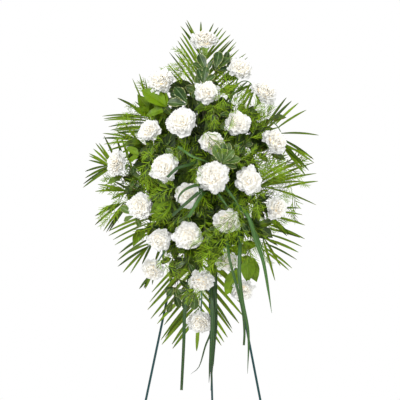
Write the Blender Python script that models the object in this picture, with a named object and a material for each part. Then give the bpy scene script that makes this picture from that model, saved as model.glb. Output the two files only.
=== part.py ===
"""Standing funeral spray: white carnations and mixed greenery in wet foam, on a folding wire easel.

Metres, +Z up, the front towards -Y. The origin is on the floor, under the middle of the whole piece.
The flowers and leaves are plain solids of their true reach and size.
"""

import math

import bmesh
import bpy
from mathutils import Matrix, Vector

# Clearance between pieces that touch.
GAP = 0.0003
# Edges bent more than this stay sharp.
SHARP_ANGLE = math.radians(35)

# Easel wires. The front legs stand in one plane, which leans back from their feet to their tops.
WIRE_RADIUS = 0.003
WIRE_SIDES = 12
LEG_TOP_HEIGHT = 1.335
LEG_TOP_Y = -0.1325
FRONT_FOOT_REACH = 0.195
FOOT_HALF_SPREAD = 0.2767
TOP_HALF_SPREAD = 0.0095
HINGE_HEIGHT = 1.318
WELD_SPACING = 2 * WIRE_RADIUS + 0.0004
REAR_FOOT_REACH = 0.55
EYE_RADIUS = 0.0066
TANG_LENGTH = 0.024
STOP_RISE = 0.0142
BAR_OVERHANG = 0.004
EYE_STEPS = 20
HOOK_X = 0.0445
HOOK_RISE = 0.022
HOOK_BEND = 0.008
HOOK_SIDES = 8

# Holder: foam in a shallow tray, strapped to the front legs.
FOAM_HEIGHT = 1.205
FOAM_SIZE = Vector((0.120, 0.075, 0.200))
TRAY_WALL = 0.0025
TRAY_BACK = 0.003
TRAY_LIP = 0.008
TIE_WIDTH = 0.0048
TIE_THICKNESS = 0.0012
TIE_CLEARANCE = 0.0006
TIE_LEVELS = {"upper": 0.043, "lower": -0.045}

# Flower dome: how far the heads stand ahead of the plane of the front legs.
CROWN_DEPTH = 0.240
FALL_ACROSS = 2.2
FALL_UP = 1.1

# Seats: where the stems start inside the foam, a scaled-down copy of where the heads are.
SEAT_DEPTH = 0.050
SEAT_SCALE = 0.18
SEAT_RUN = 0.070
SEAT_LENGTH = 0.100
BRANCH_SEAT_SCALE = 0.14
BLADE_SEAT_SCALE = 0.36

# Carnation stems: the bend into the head starts within this share of the way from the seat,
# and the straight start ends within this share of the way to the bend.
STEM_RADIUS = 0.0023
STEM_SIDES = 8
BEND_SHARE = 0.38
STRAIGHT_SHARE = 0.7
BEND_STEPS = 4

# Carnations: across and up from the middle of the foam, diameter, and lean of the face in degrees
# away from straight ahead. The face leans outwards, away from the middle.
CARNATIONS = [
    (0.001, 0.372, 0.077, 60),
    (0.095, 0.293, 0.068, 35),
    (-0.108, 0.259, 0.075, 40),
    (0.014, 0.227, 0.067, 20),
    (0.159, 0.230, 0.070, 50),
    (-0.048, 0.150, 0.079, 20),
    (-0.130, 0.131, 0.062, 30),
    (0.093, 0.147, 0.067, 15),
    (0.031, 0.096, 0.066, 25),
    (0.186, 0.103, 0.070, 45),
    (-0.219, 0.048, 0.070, 48),
    (-0.087, 0.034, 0.076, 15),
    (0.034, 0.012, 0.085, 5),
    (0.122, 0.004, 0.074, 10),
    (-0.149, -0.061, 0.072, 25),
    (-0.027, -0.033, 0.066, 10),
    (0.069, -0.097, 0.069, 20),
    (0.190, -0.066, 0.065, 48),
    (-0.100, -0.144, 0.064, 25),
    (-0.027, -0.134, 0.076, 15),
    (-0.120, -0.220, 0.062, 35),
    (0.070, -0.198, 0.060, 45),
    (0.003, -0.246, 0.069, 50),
    (0.106, -0.272, 0.065, 40),
    (-0.003, -0.353, 0.068, 35),
]

# Head of a carnation: distance along its axis and radius, both in diameters, from calyx to crown.
# The stem ends at the neck.
NECK = -0.58
CALYX_AND_HEAD = [
    (-0.52, 0.085),
    (-0.26, 0.125),
    (-0.20, 0.26),
    (-0.07, 0.45),
    (0.08, 0.50),
    (0.21, 0.40),
    (0.29, 0.18),
]

# Palm fronds lie behind the flowers, in three layers.
FROND_LAYERS = (0.021, 0.030, 0.039)
# Layer, heading in degrees above +X, the rachis's reach from the foam's middle, leaflet length,
# and the widest angle between leaflet and rachis.
FRONDS = [
    (0, 92, 0.318, 0.155, 38),
    (1, 127, 0.200, 0.125, 30),
    (2, 148, 0.190, 0.125, 28),
    (0, 170, 0.222, 0.127, 30),
    (1, 194, 0.185, 0.120, 28),
    (2, 229, 0.215, 0.125, 30),
    (0, 268, 0.300, 0.135, 34),
    (1, 317, 0.215, 0.120, 34),
    (2, 356, 0.200, 0.135, 30),
    (1, 41, 0.205, 0.125, 32),
]
FROND_INSET = 0.030
LEAFLET_PAIRS = 6
LEAFLET_START = 0.012
LEAFLET_END = 0.008
LEAFLET_TIP_ANGLE = 13
LEAFLET_HALF_WIDTH = 0.0030
LEAFLET_HALF_THICKNESS = 0.0004
# Leaf outlines: distance along the leaf and width, as shares of its length and half width.
LEAFLET_OUTLINE = [(0.10, 0.75), (0.55, 1.0), (1.0, 0.15)]
RACHIS_HALF_WIDTH = 0.0024
RACHIS_HALF_THICKNESS = 0.0018

# Stems with leaves narrow by this share from the foam to their tips. A leaf's foot takes up
# twice LEAF_FOOT of its stem.
STEM_TAPER = 0.55
LEAF_FOOT = 0.0022
LEAF_HALF_THICKNESS = 0.0005
BRANCH_HALF_WIDTH = 0.0014
BROAD_OUTLINE = [(0.09, 0.14), (0.30, 0.85), (0.50, 1.0), (0.75, 0.66), (1.0, 0.08)]

# Salal: heading, reach and depth at the tip.
SALAL = [
    (127, 0.225, 0.085),
    (147, 0.185, 0.090),
    (219, 0.190, 0.100),
    (301, 0.250, 0.095),
]
# Length and half width of a leaf, then the share of the stem below each leaf, its side and its angle.
SALAL_LEAF = (0.062, 0.016)
SALAL_SPOTS = [(0.72, 1, 65), (0.72, -1, 65), (0.95, 1, 45), (0.95, -1, 45)]

# Pittosporum: heading, reach, depth at the tip.
PITTOSPORUM = [
    (80, 0.315, 0.060),
    (256, 0.315, 0.065),
]
PITTOSPORUM_LEAF = (0.026, 0.0065)
PITTOSPORUM_SPOTS = [
    (0.80, 1, 70), (0.80, -1, 70), (0.88, 1, 55), (0.88, -1, 55), (0.96, 1, 46), (0.96, -1, 46),
]

# Lily grass: points of each blade after the foam, as across, up and depth.
BLADES = [
    [(0.069, -0.045, 0.170), (0.117, -0.080, 0.215), (0.140, -0.143, 0.220), (0.158, -0.197, 0.205),
     (0.170, -0.267, 0.182), (0.178, -0.324, 0.160)],
    [(0.098, -0.118, 0.180), (0.100, -0.215, 0.232), (0.108, -0.290, 0.225), (0.122, -0.370, 0.195),
     (0.119, -0.472, 0.160)],
    [(0.034, -0.150, 0.110), (0.036, -0.230, 0.125), (0.036, -0.310, 0.130), (0.032, -0.415, 0.118),
     (0.025, -0.522, 0.100)],
    [(-0.020, -0.175, 0.098), (-0.032, -0.250, 0.122), (-0.040, -0.330, 0.128), (-0.042, -0.403, 0.120),
     (-0.048, -0.521, 0.100)],
]
BLADE_HALF_WIDTH = 0.0038
BLADE_HALF_THICKNESS = 0.0008
BLADE_END_SHARE = 0.45
BLADE_STEPS = 3

# Fern plumes: heading, reach and depth at the tip.
FERNS = [
    (121, 0.310, 0.085),
    (183, 0.260, 0.075),
    (12, 0.270, 0.075),
]
PLUME_HALF_WIDTH = 0.013
PLUME_HALF_THICKNESS = 0.005
PLUME_STEM_HALF_THICKNESS = 0.0011
PLUME_STEM_SHARE = 0.09
# Distance along the plume and width, as shares of its length and half width, past the straight stem.
PLUME_OUTLINE = [
    (0.52, PLUME_STEM_SHARE), (0.60, 0.55), (0.72, 1.0), (0.85, 0.85), (0.95, 0.45), (1.0, 0.08),
]

LEG_LEAN = math.atan2(FRONT_FOOT_REACH, LEG_TOP_HEIGHT)
LEG_FORWARD = Vector((0, -math.cos(LEG_LEAN), math.sin(LEG_LEAN)))


def clear_scene():
    for obj in list(bpy.data.objects):
        bpy.data.objects.remove(obj)


def surface(name, colour, roughness, metallic=0.0):
    """A Principled material of one colour."""
    material = bpy.data.materials.new(name)
    material.use_nodes = True
    shader = material.node_tree.nodes["Principled BSDF"]
    shader.inputs["Base Color"].default_value = (*colour, 1)
    shader.inputs["Roughness"].default_value = roughness
    shader.inputs["Metallic"].default_value = metallic
    return material


def add_piece(name, bm, material, origin=None, smooth=True):
    """One object from the mesh, with its own origin."""
    bmesh.ops.recalc_face_normals(bm, faces=bm.faces)
    mesh = bpy.data.meshes.new(name)
    origin = origin or Vector()
    bmesh.ops.translate(bm, verts=bm.verts, vec=-origin)
    bm.to_mesh(mesh)
    bm.free()
    if smooth:
        mesh.shade_smooth()
        mesh.set_sharp_from_angle(angle=SHARP_ANGLE)
    if material:
        mesh.materials.append(material)
    piece = bpy.data.objects.new(name, mesh)
    piece.location = origin
    bpy.context.scene.collection.objects.link(piece)
    return piece


def as_helper(piece):
    piece.hide_render = True
    piece.display_type = "WIRE"
    return piece


def leg_plane_y(height):
    """The plane of the front legs' centre lines."""
    return LEG_TOP_Y - FRONT_FOOT_REACH * (1 - height / LEG_TOP_HEIGHT)


def leg_half_spread(height):
    return TOP_HALF_SPREAD + (FOOT_HALF_SPREAD - TOP_HALF_SPREAD) * (1 - height / LEG_TOP_HEIGHT)


def spray_point(across, up, depth):
    """A place in the spray: across and up from the foam, and depth ahead of the front legs."""
    height = FOAM_HEIGHT + up
    return Vector((across, leg_plane_y(height) - depth, height))


def dome_depth(across, up):
    return CROWN_DEPTH - FALL_ACROSS * across**2 - FALL_UP * up**2


def seat_for(across, up, scale=SEAT_SCALE):
    return spray_point(across * scale, up * scale, SEAT_DEPTH)


# Bodies swept along a path.


def path_tangents(centres):
    tangents = []
    for i, centre in enumerate(centres):
        before = centres[max(i - 1, 0)]
        after = centres[min(i + 1, len(centres) - 1)]
        tangents.append((after - before).normalized())
    return tangents


def path_frames(centres, facing):
    """Tangent, sideways and facing directions, carried back from the far end without twisting."""
    tangents = path_tangents(centres)
    sideways = tangents[-1].cross(facing).normalized()
    frames = []
    for tangent in reversed(tangents):
        sideways = (sideways - tangent * sideways.dot(tangent)).normalized()
        frames.append((tangent, sideways, sideways.cross(tangent)))
    return frames[::-1]


def ring(centre, frame, half_width, half_thickness, sides):
    """Corners of a section whose flats are half_width and half_thickness from the centre."""
    _, sideways, facing = frame
    reach = 1 / math.cos(math.pi / sides)
    corners = []
    for i in range(sides):
        angle = (2 * i + 1) * math.pi / sides
        corners.append(
            centre
            + sideways * (half_width * reach * math.cos(angle))
            + facing * (half_thickness * reach * math.sin(angle))
        )
    return corners


def extrude_to(bm, end, corners):
    """Extrude the end face and put the new end's corners where they belong."""
    end = bmesh.ops.extrude_discrete_faces(bm, faces=[end])["faces"][0]
    for vert, corner in zip(end.verts, corners):
        vert.co = corner
    return end


def sweep(centres, facing, half_widths, half_thicknesses, sides):
    """A closed body through the centres."""
    bm = bmesh.new()
    frames = path_frames(centres, facing)
    sections = zip(centres, frames, half_widths, half_thicknesses)
    rings = [ring(*section, sides) for section in sections]
    start = [bm.verts.new(corner) for corner in rings[0]]
    end = bm.faces.new(start)
    for corners in rings[1:]:
        end = extrude_to(bm, end, corners)
    bm.faces.new(reversed(start))
    return bm, frames


def tube(centres, radii, sides):
    return sweep(centres, Vector((0, 0, 1)), radii, radii, sides)[0]


def bend(start, corner, end, count):
    """Points of a curve that leaves the start towards the corner and reaches the end from it."""
    points = []
    for i in range(1, count + 1):
        t = i / count
        points.append(start * (1 - t) ** 2 + corner * (2 * t * (1 - t)) + end * t**2)
    return points


def smooth_run(points, steps):
    """Points of a smooth curve through the given ones."""
    padded = [points[0] * 2 - points[1], *points, points[-1] * 2 - points[-2]]
    run = []
    for a, b, c, d in zip(padded, padded[1:], padded[2:], padded[3:]):
        for step in range(steps):
            t = step / steps
            run.append(
                (b * 2 + (c - a) * t + (a * 2 - b * 5 + c * 4 - d) * t**2
                 + (b * 3 - a - c * 3 + d) * t**3) / 2
            )
    return [*run, points[-1]]


def places_along(points, distances):
    """The places at these distances along a run of points."""
    places = []
    for distance in distances:
        left = distance
        for start, end in zip(points, points[1:]):
            span = (end - start).length
            if left <= span:
                break
            left -= span
        places.append(start + (end - start) * (left / span))
    return places


def run_length(points):
    return sum((b - a).length for a, b in zip(points, points[1:]))


# Easel.


def straight_wire(name, start, end, material, origin=None, cut_at_floor=False):
    """A round wire between two points. One that stands on the floor is cut level with it."""
    axis = end - start
    bm = bmesh.new()
    place = Matrix.Translation((start + end) / 2) @ axis.to_track_quat("Z", "Y").to_matrix().to_4x4()
    bmesh.ops.create_cone(
        bm, cap_ends=True, segments=WIRE_SIDES, radius1=WIRE_RADIUS, radius2=WIRE_RADIUS,
        depth=axis.length, matrix=place,
    )
    if cut_at_floor:
        geometry = [*bm.verts, *bm.edges, *bm.faces]
        bmesh.ops.bisect_plane(bm, geom=geometry, plane_co=(0, 0, 0), plane_no=(0, 0, -1), clear_outer=True)
        rim = [edge for edge in bm.edges if edge.is_boundary]
        bmesh.ops.holes_fill(bm, edges=rim, sides=0)
    return add_piece(name, bm, material, origin)


def past_the_floor(top, foot):
    """A little beyond the foot, so that the cut leaves a whole oval face."""
    return foot + (foot - top).normalized() * (4 * WIRE_RADIUS)


def front_legs(enamel):
    for side, word in ((-1, "left"), (1, "right")):
        top = Vector((side * TOP_HALF_SPREAD, LEG_TOP_Y, LEG_TOP_HEIGHT))
        foot = Vector((side * FOOT_HALF_SPREAD, LEG_TOP_Y - FRONT_FOOT_REACH, 0))
        straight_wire(f"front_leg_{word}", top, past_the_floor(top, foot), enamel, top, True)


def hinge_centre():
    return Vector((0, leg_plane_y(HINGE_HEIGHT) + WELD_SPACING, HINGE_HEIGHT))


def cross_wire(name, centre, half_length, enamel):
    reach = Vector((half_length, 0, 0))
    return straight_wire(name, centre - reach, centre + reach, enamel, centre)


def top_bars(enamel):
    """The bar that the rear leg turns on, and the bar that stops it."""
    hinge = hinge_centre()
    down = rear_leg_direction()
    ahead = Vector((0, down.z, -down.y))
    stop = hinge - down * STOP_RISE + ahead * (2 * WIRE_RADIUS + GAP)
    cross_wire("hinge_bar", hinge, leg_half_spread(hinge.z) + BAR_OVERHANG, enamel)
    cross_wire("stop_bar", stop, leg_half_spread(stop.z) + BAR_OVERHANG, enamel)


def rear_leg_direction():
    return Vector((0, REAR_FOOT_REACH, -HINGE_HEIGHT)).normalized()


def rear_leg(enamel):
    """Eye round the hinge bar, shank down to the floor and tang above, all one wire."""
    hinge = hinge_centre()
    down = rear_leg_direction()
    bm = bmesh.new()
    profile = bmesh.ops.create_circle(
        bm, segments=WIRE_SIDES, radius=WIRE_RADIUS,
        matrix=Matrix.Translation((0, EYE_RADIUS, 0)),
    )
    bmesh.ops.spin(
        bm, geom=[*profile["verts"], *bm.edges], cent=(0, 0, 0), axis=(1, 0, 0),
        angle=2 * math.pi, steps=EYE_STEPS, use_merge=True,
    )
    bmesh.ops.remove_doubles(bm, verts=bm.verts, dist=0.00001)
    leg = add_piece("rear_leg", bm, enamel)
    leg.location = hinge
    foot = hinge + down * (hinge.z / -down.z)
    weld = hinge + down * EYE_RADIUS
    shank = straight_wire("rear_shank", weld, past_the_floor(hinge, foot), None, hinge, True)
    tang = straight_wire("rear_tang", hinge - down * TANG_LENGTH, hinge - down * EYE_RADIUS, None, hinge)
    for helper in (shank, tang):
        weld_on = leg.modifiers.new(helper.name, "BOOLEAN")
        weld_on.operation = "UNION"
        weld_on.object = as_helper(helper)


# Holder. Its pieces are placed in a frame that leans back with the front legs.


def holder_frame():
    frame = bpy.data.objects.new("holder_frame", None)
    frame.location = (0, leg_plane_y(FOAM_HEIGHT), FOAM_HEIGHT)
    frame.rotation_euler.x = -LEG_LEAN
    bpy.context.scene.collection.objects.link(frame)
    return frame


def tray_front():
    """Distance from the legs' plane to the inside of the tray's back."""
    return WIRE_RADIUS + GAP + TRAY_BACK


def tray_outside():
    return FOAM_SIZE.x / 2 + GAP + TRAY_WALL


def block(size, centre):
    bm = bmesh.new()
    place = Matrix.Translation(centre) @ Matrix.Diagonal((*size, 1))
    bmesh.ops.create_cube(bm, size=1, matrix=place)
    return bm


def foam_tray(frame, plastic):
    """A shallow box, open at the front."""
    depth = TRAY_BACK + TRAY_LIP
    width = 2 * tray_outside()
    height = FOAM_SIZE.z + 2 * (GAP + TRAY_WALL)
    middle = WIRE_RADIUS + GAP + depth / 2
    bm = block((width, depth, height), (0, -middle, 0))
    front = min(bm.faces, key=lambda face: face.calc_center_median().y)
    bmesh.ops.inset_region(bm, faces=[front], thickness=TRAY_WALL)
    floor = bmesh.ops.extrude_discrete_faces(bm, faces=[front])["faces"][0]
    bmesh.ops.translate(bm, verts=floor.verts, vec=(0, TRAY_LIP, 0))
    tray = add_piece("foam_tray", bm, plastic, smooth=False)
    tray.parent = frame
    return tray


def foam_block(frame, foam):
    middle = tray_front() + GAP + FOAM_SIZE.y / 2
    piece = add_piece("foam_block", block(FOAM_SIZE, (0, -middle, 0)), foam, smooth=False)
    piece.parent = frame
    return piece


def carve_seats(foam, cutters):
    """Cut the hole of every stem into the foam."""
    seats = bpy.data.collections.new("stem_seats")
    bpy.context.scene.collection.children.link(seats)
    for cutter in cutters:
        as_helper(cutter)
        bpy.context.scene.collection.objects.unlink(cutter)
        seats.objects.link(cutter)
    cut = foam.modifiers.new("stem_seats", "BOOLEAN")
    cut.operation = "DIFFERENCE"
    cut.operand_type = "COLLECTION"
    cut.collection = seats


def cable_tie(frame, word, level, plastic):
    """A strap round the foam and the tray that closes behind both front legs."""
    legs = leg_half_spread(FOAM_HEIGHT + level * math.cos(LEG_LEAN)) + WIRE_RADIUS
    side = tray_outside() + TIE_CLEARANCE
    front = tray_front() + GAP + FOAM_SIZE.y + TIE_CLEARANCE
    back = -(WIRE_RADIUS + TIE_CLEARANCE)
    right = [(side, front), (side, WIRE_RADIUS), (legs + TIE_CLEARANCE, back)]
    outline = right + [(-x, y) for x, y in reversed(right)]
    bm = bmesh.new()
    verts = [bm.verts.new((x, -y, level - TIE_WIDTH / 2)) for x, y in outline]
    edges = [bm.edges.new((a, b)) for a, b in zip(verts, verts[1:] + verts[:1])]
    strip = bmesh.ops.extrude_edge_only(bm, edges=edges)["geom"]
    top = [part for part in strip if isinstance(part, bmesh.types.BMVert)]
    bmesh.ops.translate(bm, verts=top, vec=(0, 0, TIE_WIDTH))
    tie = add_piece(f"cable_tie_{word}", bm, plastic, smooth=False)
    wall = tie.modifiers.new("wall", "SOLIDIFY")
    wall.thickness = TIE_THICKNESS
    wall.offset = 1
    wall.use_even_offset = True
    tie.parent = frame


def crossbar_and_hooks(frame, enamel):
    """A bar behind the legs, and two hooks from it that the tray sits on."""
    level = -(FOAM_SIZE.z / 2 + GAP + TRAY_WALL + GAP + WIRE_RADIUS)
    half_length = leg_half_spread(FOAM_HEIGHT + level * math.cos(LEG_LEAN)) + BAR_OVERHANG
    bar = cross_wire("crossbar", Vector((0, WELD_SPACING, level)), half_length, enamel)
    bar.parent = frame
    reach = tray_front() + GAP + FOAM_SIZE.y + GAP + WIRE_RADIUS
    for side, word in ((-1, "left"), (1, "right")):
        start = Vector((side * HOOK_X, WELD_SPACING - WIRE_RADIUS - GAP, level))
        corner = Vector((side * HOOK_X, -reach, level))
        turn = corner + Vector((0, HOOK_BEND, 0))
        rise = corner + Vector((0, 0, HOOK_BEND))
        tip = corner + Vector((0, 0, HOOK_RISE))
        centres = [start, turn, *bend(turn, corner, rise, BEND_STEPS), tip]
        radii = [WIRE_RADIUS] * len(centres)
        bm = sweep(centres, Vector((1, 0, 0)), radii, radii, HOOK_SIDES)[0]
        hook = add_piece(f"rest_hook_{word}", bm, enamel)
        hook.parent = frame


# Flowers and foliage. Each maker returns the cutter of its seat in the foam.


def seat_cutter(name, centres, half_width, half_thickness, sides, facing):
    """A slightly larger copy of the stem's start."""
    back = (centres[0] - centres[1]).normalized() * GAP
    centres = [centres[0] + back, *centres[1:]]
    widths = [half_width + GAP] * len(centres)
    depths = [half_thickness + GAP] * len(centres)
    bm = sweep(centres, facing, widths, depths, sides)[0]
    return add_piece(f"seat_of_{name}", bm, None)


def straight_seat(seat, aim):
    """The ends of a straight seat that runs from inside the foam to well outside it."""
    return [seat, seat + (aim - seat).normalized() * SEAT_LENGTH]


def head_facing(across, up, lean):
    outward = Vector((across, 0, up)).normalized()
    ahead = Vector((0, -1, 0))
    return outward * math.sin(math.radians(lean)) + ahead * math.cos(math.radians(lean))


def bend_lead(seat, neck, lean):
    """How far behind the neck the stem starts to turn, so that it stays ahead of the fronds."""
    depth = leg_plane_y(neck.z) - neck.y
    room = (depth - SEAT_DEPTH - STEM_RADIUS) / math.cos(math.radians(lean))
    return min(BEND_SHARE * (neck - seat).length, room)


def carnation(number, across, up, diameter, lean, petals):
    """Stem from the foam, calyx and domed head, turned about one bending axis."""
    name = f"carnation_{number:02d}"
    facing = head_facing(across, up, lean)
    head = spray_point(across, up, dome_depth(across, up))
    neck = head + facing * (NECK * diameter)
    seat = seat_for(across, up)
    aim = neck - facing * bend_lead(seat, neck, lean)
    straight = seat + (aim - seat).normalized() * min(SEAT_RUN, STRAIGHT_SHARE * (aim - seat).length)
    centres = [seat, straight, *bend(straight, aim, neck, BEND_STEPS)]
    start_of_stem = centres[:4]
    radii = [STEM_RADIUS] * len(centres)
    for distance, radius in CALYX_AND_HEAD:
        centres.append(head + facing * (distance * diameter))
        radii.append(radius * diameter)
    bm = tube(centres, radii, STEM_SIDES)
    add_piece(name, bm, petals, seat)
    return seat_cutter(name, start_of_stem, STEM_RADIUS, STEM_RADIUS, STEM_SIDES, Vector((0, 0, 1)))


def grow_leaf(bm, face, direction, width, facing, length, half_width, outline, thickness):
    """Extrude a leaf from a side face of its stem."""
    base = face.calc_center_median()
    corners = []
    for vert in face.verts:
        reach = vert.co - base
        corners.append((math.copysign(1, reach.dot(width)), math.copysign(1, reach.dot(facing))))
    for distance, share in outline:
        middle = base + direction * (distance * length)
        spots = []
        for along, out in corners:
            spots.append(middle + width * (along * share * half_width) + facing * (out * thickness))
        face = extrude_to(bm, face, spots)


def side_face(bm, place):
    return min(bm.faces, key=lambda face: (face.calc_center_median() - place).length)


def leafy_stem(name, run, facing, half_width, half_thickness, leaves, material):
    """A flat stem along the run, tapering, with leaves out of its side faces.

    Each leaf is its distance along the run, side, angle, length, half width, outline and thickness.
    """
    length = run_length(run)
    stations = [0, SEAT_RUN]
    for distance in sorted({leaf[0] for leaf in leaves}):
        stations += [distance - LEAF_FOOT, distance + LEAF_FOOT]
    stations.append(length)
    centres = places_along(run, stations)
    tapers = [1 - STEM_TAPER * max(0, station - SEAT_RUN) / (length - SEAT_RUN) for station in stations]
    widths = [half_width * taper for taper in tapers]
    depths = [half_thickness * taper for taper in tapers]
    bm, frames = sweep(centres, facing, widths, depths, 4)
    for distance, side, angle, leaf_length, leaf_width, outline, thickness in leaves:
        i = stations.index(distance - LEAF_FOOT)
        tangent, sideways, out = frames[i]
        outward = sideways * side
        middle = (centres[i] + centres[i + 1]) / 2
        face = side_face(bm, middle + outward * widths[i])
        turn = math.radians(angle)
        direction = tangent * math.cos(turn) + outward * math.sin(turn)
        width = tangent * math.sin(turn) - outward * math.cos(turn)
        grow_leaf(bm, face, direction, width, out, leaf_length, leaf_width, outline, thickness)
    add_piece(name, bm, material, run[0].copy())


def heading_vector(heading):
    return math.cos(math.radians(heading)), math.sin(math.radians(heading))


def edge_seat(heading, depth, inset):
    """A place inside the foam, inset from the edge that this heading leaves by."""
    across, up = heading_vector(heading)
    half_width = FOAM_SIZE.x / 2 - inset
    half_height = FOAM_SIZE.z / 2 - inset
    reach = min(half_width / max(abs(across), 1e-6), half_height / max(abs(up), 1e-6))
    return spray_point(across * reach, up * reach, depth)


def leaflet_share(share):
    """Length of a leaflet this share of the way along the rachis: longest in the middle."""
    return 0.72 + 0.28 * math.sin(math.pi * (0.15 + 0.7 * share))


def palm_frond(number, layer, heading, reach, leaflet, widest, green):
    """A straight rachis with leaflets on both sides that close in towards its tip."""
    name = f"palm_frond_{number:02d}"
    depth = FROND_LAYERS[layer]
    across, up = heading_vector(heading)
    seat = edge_seat(heading, depth, FROND_INSET)
    tip = spray_point(across * reach, up * reach, depth)
    run = [seat, tip]
    length = run_length(run)
    first = SEAT_RUN + LEAFLET_START
    last = length - LEAFLET_END
    leaves = []
    for i in range(LEAFLET_PAIRS):
        share = i / (LEAFLET_PAIRS - 1)
        distance = first + (last - first) * share
        angle = widest + (LEAFLET_TIP_ANGLE - widest) * share
        size = leaflet * leaflet_share(share)
        shape = (angle, size, LEAFLET_HALF_WIDTH, LEAFLET_OUTLINE, LEAFLET_HALF_THICKNESS)
        for side in (-1, 1):
            leaves.append((distance, side, *shape))
    leafy_stem(name, run, LEG_FORWARD, RACHIS_HALF_WIDTH, RACHIS_HALF_THICKNESS, leaves, green)
    start = straight_seat(seat, tip)
    return seat_cutter(name, start, RACHIS_HALF_WIDTH, RACHIS_HALF_THICKNESS, 4, LEG_FORWARD)


def leafy_branch(name, heading, reach, depth, leaf, spots, green):
    """A branch from the middle of the foam outwards, with broad leaves."""
    across, up = heading_vector(heading)
    seat = seat_for(across * reach, up * reach, BRANCH_SEAT_SCALE)
    tip = spray_point(across * reach, up * reach, depth)
    run = [seat, tip]
    length = run_length(run)
    leaves = []
    for share, side, angle in spots:
        leaves.append((length * share, side, angle, *leaf, BROAD_OUTLINE, LEAF_HALF_THICKNESS))
    leafy_stem(name, run, LEG_FORWARD, BRANCH_HALF_WIDTH, BRANCH_HALF_WIDTH, leaves, green)
    start = straight_seat(seat, tip)
    return seat_cutter(name, start, BRANCH_HALF_WIDTH, BRANCH_HALF_WIDTH, 4, LEG_FORWARD)


def blade_share(share):
    """Width of a blade this share of the way along it: widest in the middle."""
    return BLADE_END_SHARE + (1 - BLADE_END_SHARE) * math.sin(math.pi * share)


def grass_blade(number, points, green):
    """A long flat blade that leaves the foam straight and then arches."""
    name = f"lily_grass_{number:02d}"
    spots = [spray_point(*point) for point in points]
    seat = seat_for(points[0][0], points[0][1], BLADE_SEAT_SCALE)
    straight = seat + (spots[0] - seat).normalized() * SEAT_RUN
    centres = [seat, *smooth_run([straight, *spots], BLADE_STEPS)]
    last = len(centres) - 1
    widths = [BLADE_HALF_WIDTH * blade_share(i / last) for i in range(last + 1)]
    bm, frames = sweep(centres, LEG_FORWARD, widths, [BLADE_HALF_THICKNESS] * len(centres), 4)
    add_piece(name, bm, green, seat)
    flat_side = frames[0][2]
    start = straight_seat(seat, straight)
    widest_in_foam = BLADE_HALF_WIDTH * blade_share(4 / last)
    return seat_cutter(name, start, widest_in_foam, BLADE_HALF_THICKNESS, 4, flat_side)


def fern_plume(number, heading, reach, depth, green):
    """A plain flat plume on a thin stem."""
    name = f"fern_plume_{number:02d}"
    across, up = heading_vector(heading)
    seat = seat_for(across * reach, up * reach, BRANCH_SEAT_SCALE)
    tip = spray_point(across * reach, up * reach, depth)
    run = [seat, tip]
    length = run_length(run)
    outline = [(0, PLUME_STEM_SHARE), (SEAT_RUN / length, PLUME_STEM_SHARE), *PLUME_OUTLINE]
    centres = places_along(run, [share * length for share, _ in outline])
    widths = [PLUME_HALF_WIDTH * size for _, size in outline]
    depths = [max(PLUME_STEM_HALF_THICKNESS, PLUME_HALF_THICKNESS * size) for _, size in outline]
    bm = sweep(centres, LEG_FORWARD, widths, depths, 8)[0]
    add_piece(name, bm, green, seat)
    return seat_cutter(name, straight_seat(seat, tip), widths[0], depths[0], 8, LEG_FORWARD)


def easel():
    enamel = surface("green_enamel", (0.015, 0.075, 0.085), 0.35)
    front_legs(enamel)
    top_bars(enamel)
    rear_leg(enamel)
    return enamel


def plants():
    """Every flower and stem of foliage. Returns the cutters of their seats."""
    petals = surface("white_petals", (0.90, 0.89, 0.85), 0.55)
    palm = surface("palm_green", (0.10, 0.24, 0.03), 0.45)
    salal = surface("salal_green", (0.14, 0.33, 0.02), 0.35)
    grey_green = surface("pittosporum_green", (0.18, 0.28, 0.18), 0.45)
    grass = surface("lily_grass_green", (0.04, 0.16, 0.06), 0.35)
    fern = surface("fern_green", (0.16, 0.36, 0.03), 0.6)
    cutters = []
    for number, row in enumerate(CARNATIONS, 1):
        cutters.append(carnation(number, *row, petals))
    for number, row in enumerate(FRONDS, 1):
        cutters.append(palm_frond(number, *row, palm))
    for number, row in enumerate(SALAL, 1):
        name = f"salal_stem_{number:02d}"
        cutters.append(leafy_branch(name, *row, SALAL_LEAF, SALAL_SPOTS, salal))
    for number, row in enumerate(PITTOSPORUM, 1):
        name = f"pittosporum_{number:02d}"
        cutters.append(leafy_branch(name, *row, PITTOSPORUM_LEAF, PITTOSPORUM_SPOTS, grey_green))
    for number, points in enumerate(BLADES, 1):
        cutters.append(grass_blade(number, points, grass))
    for number, row in enumerate(FERNS, 1):
        cutters.append(fern_plume(number, *row, fern))
    return cutters


def main():
    clear_scene()
    enamel = easel()
    frame = holder_frame()
    green_plastic = surface("green_plastic", (0.02, 0.10, 0.04), 0.4)
    wet_foam = surface("wet_foam", (0.03, 0.12, 0.05), 0.95)
    crossbar_and_hooks(frame, enamel)
    foam_tray(frame, green_plastic)
    foam = foam_block(frame, wet_foam)
    for word, level in TIE_LEVELS.items():
        cable_tie(frame, word, level, green_plastic)
    carve_seats(foam, plants())


main()
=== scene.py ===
import math
import random

import bmesh
import bpy
import numpy as np
from mathutils import Matrix, Vector


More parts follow.
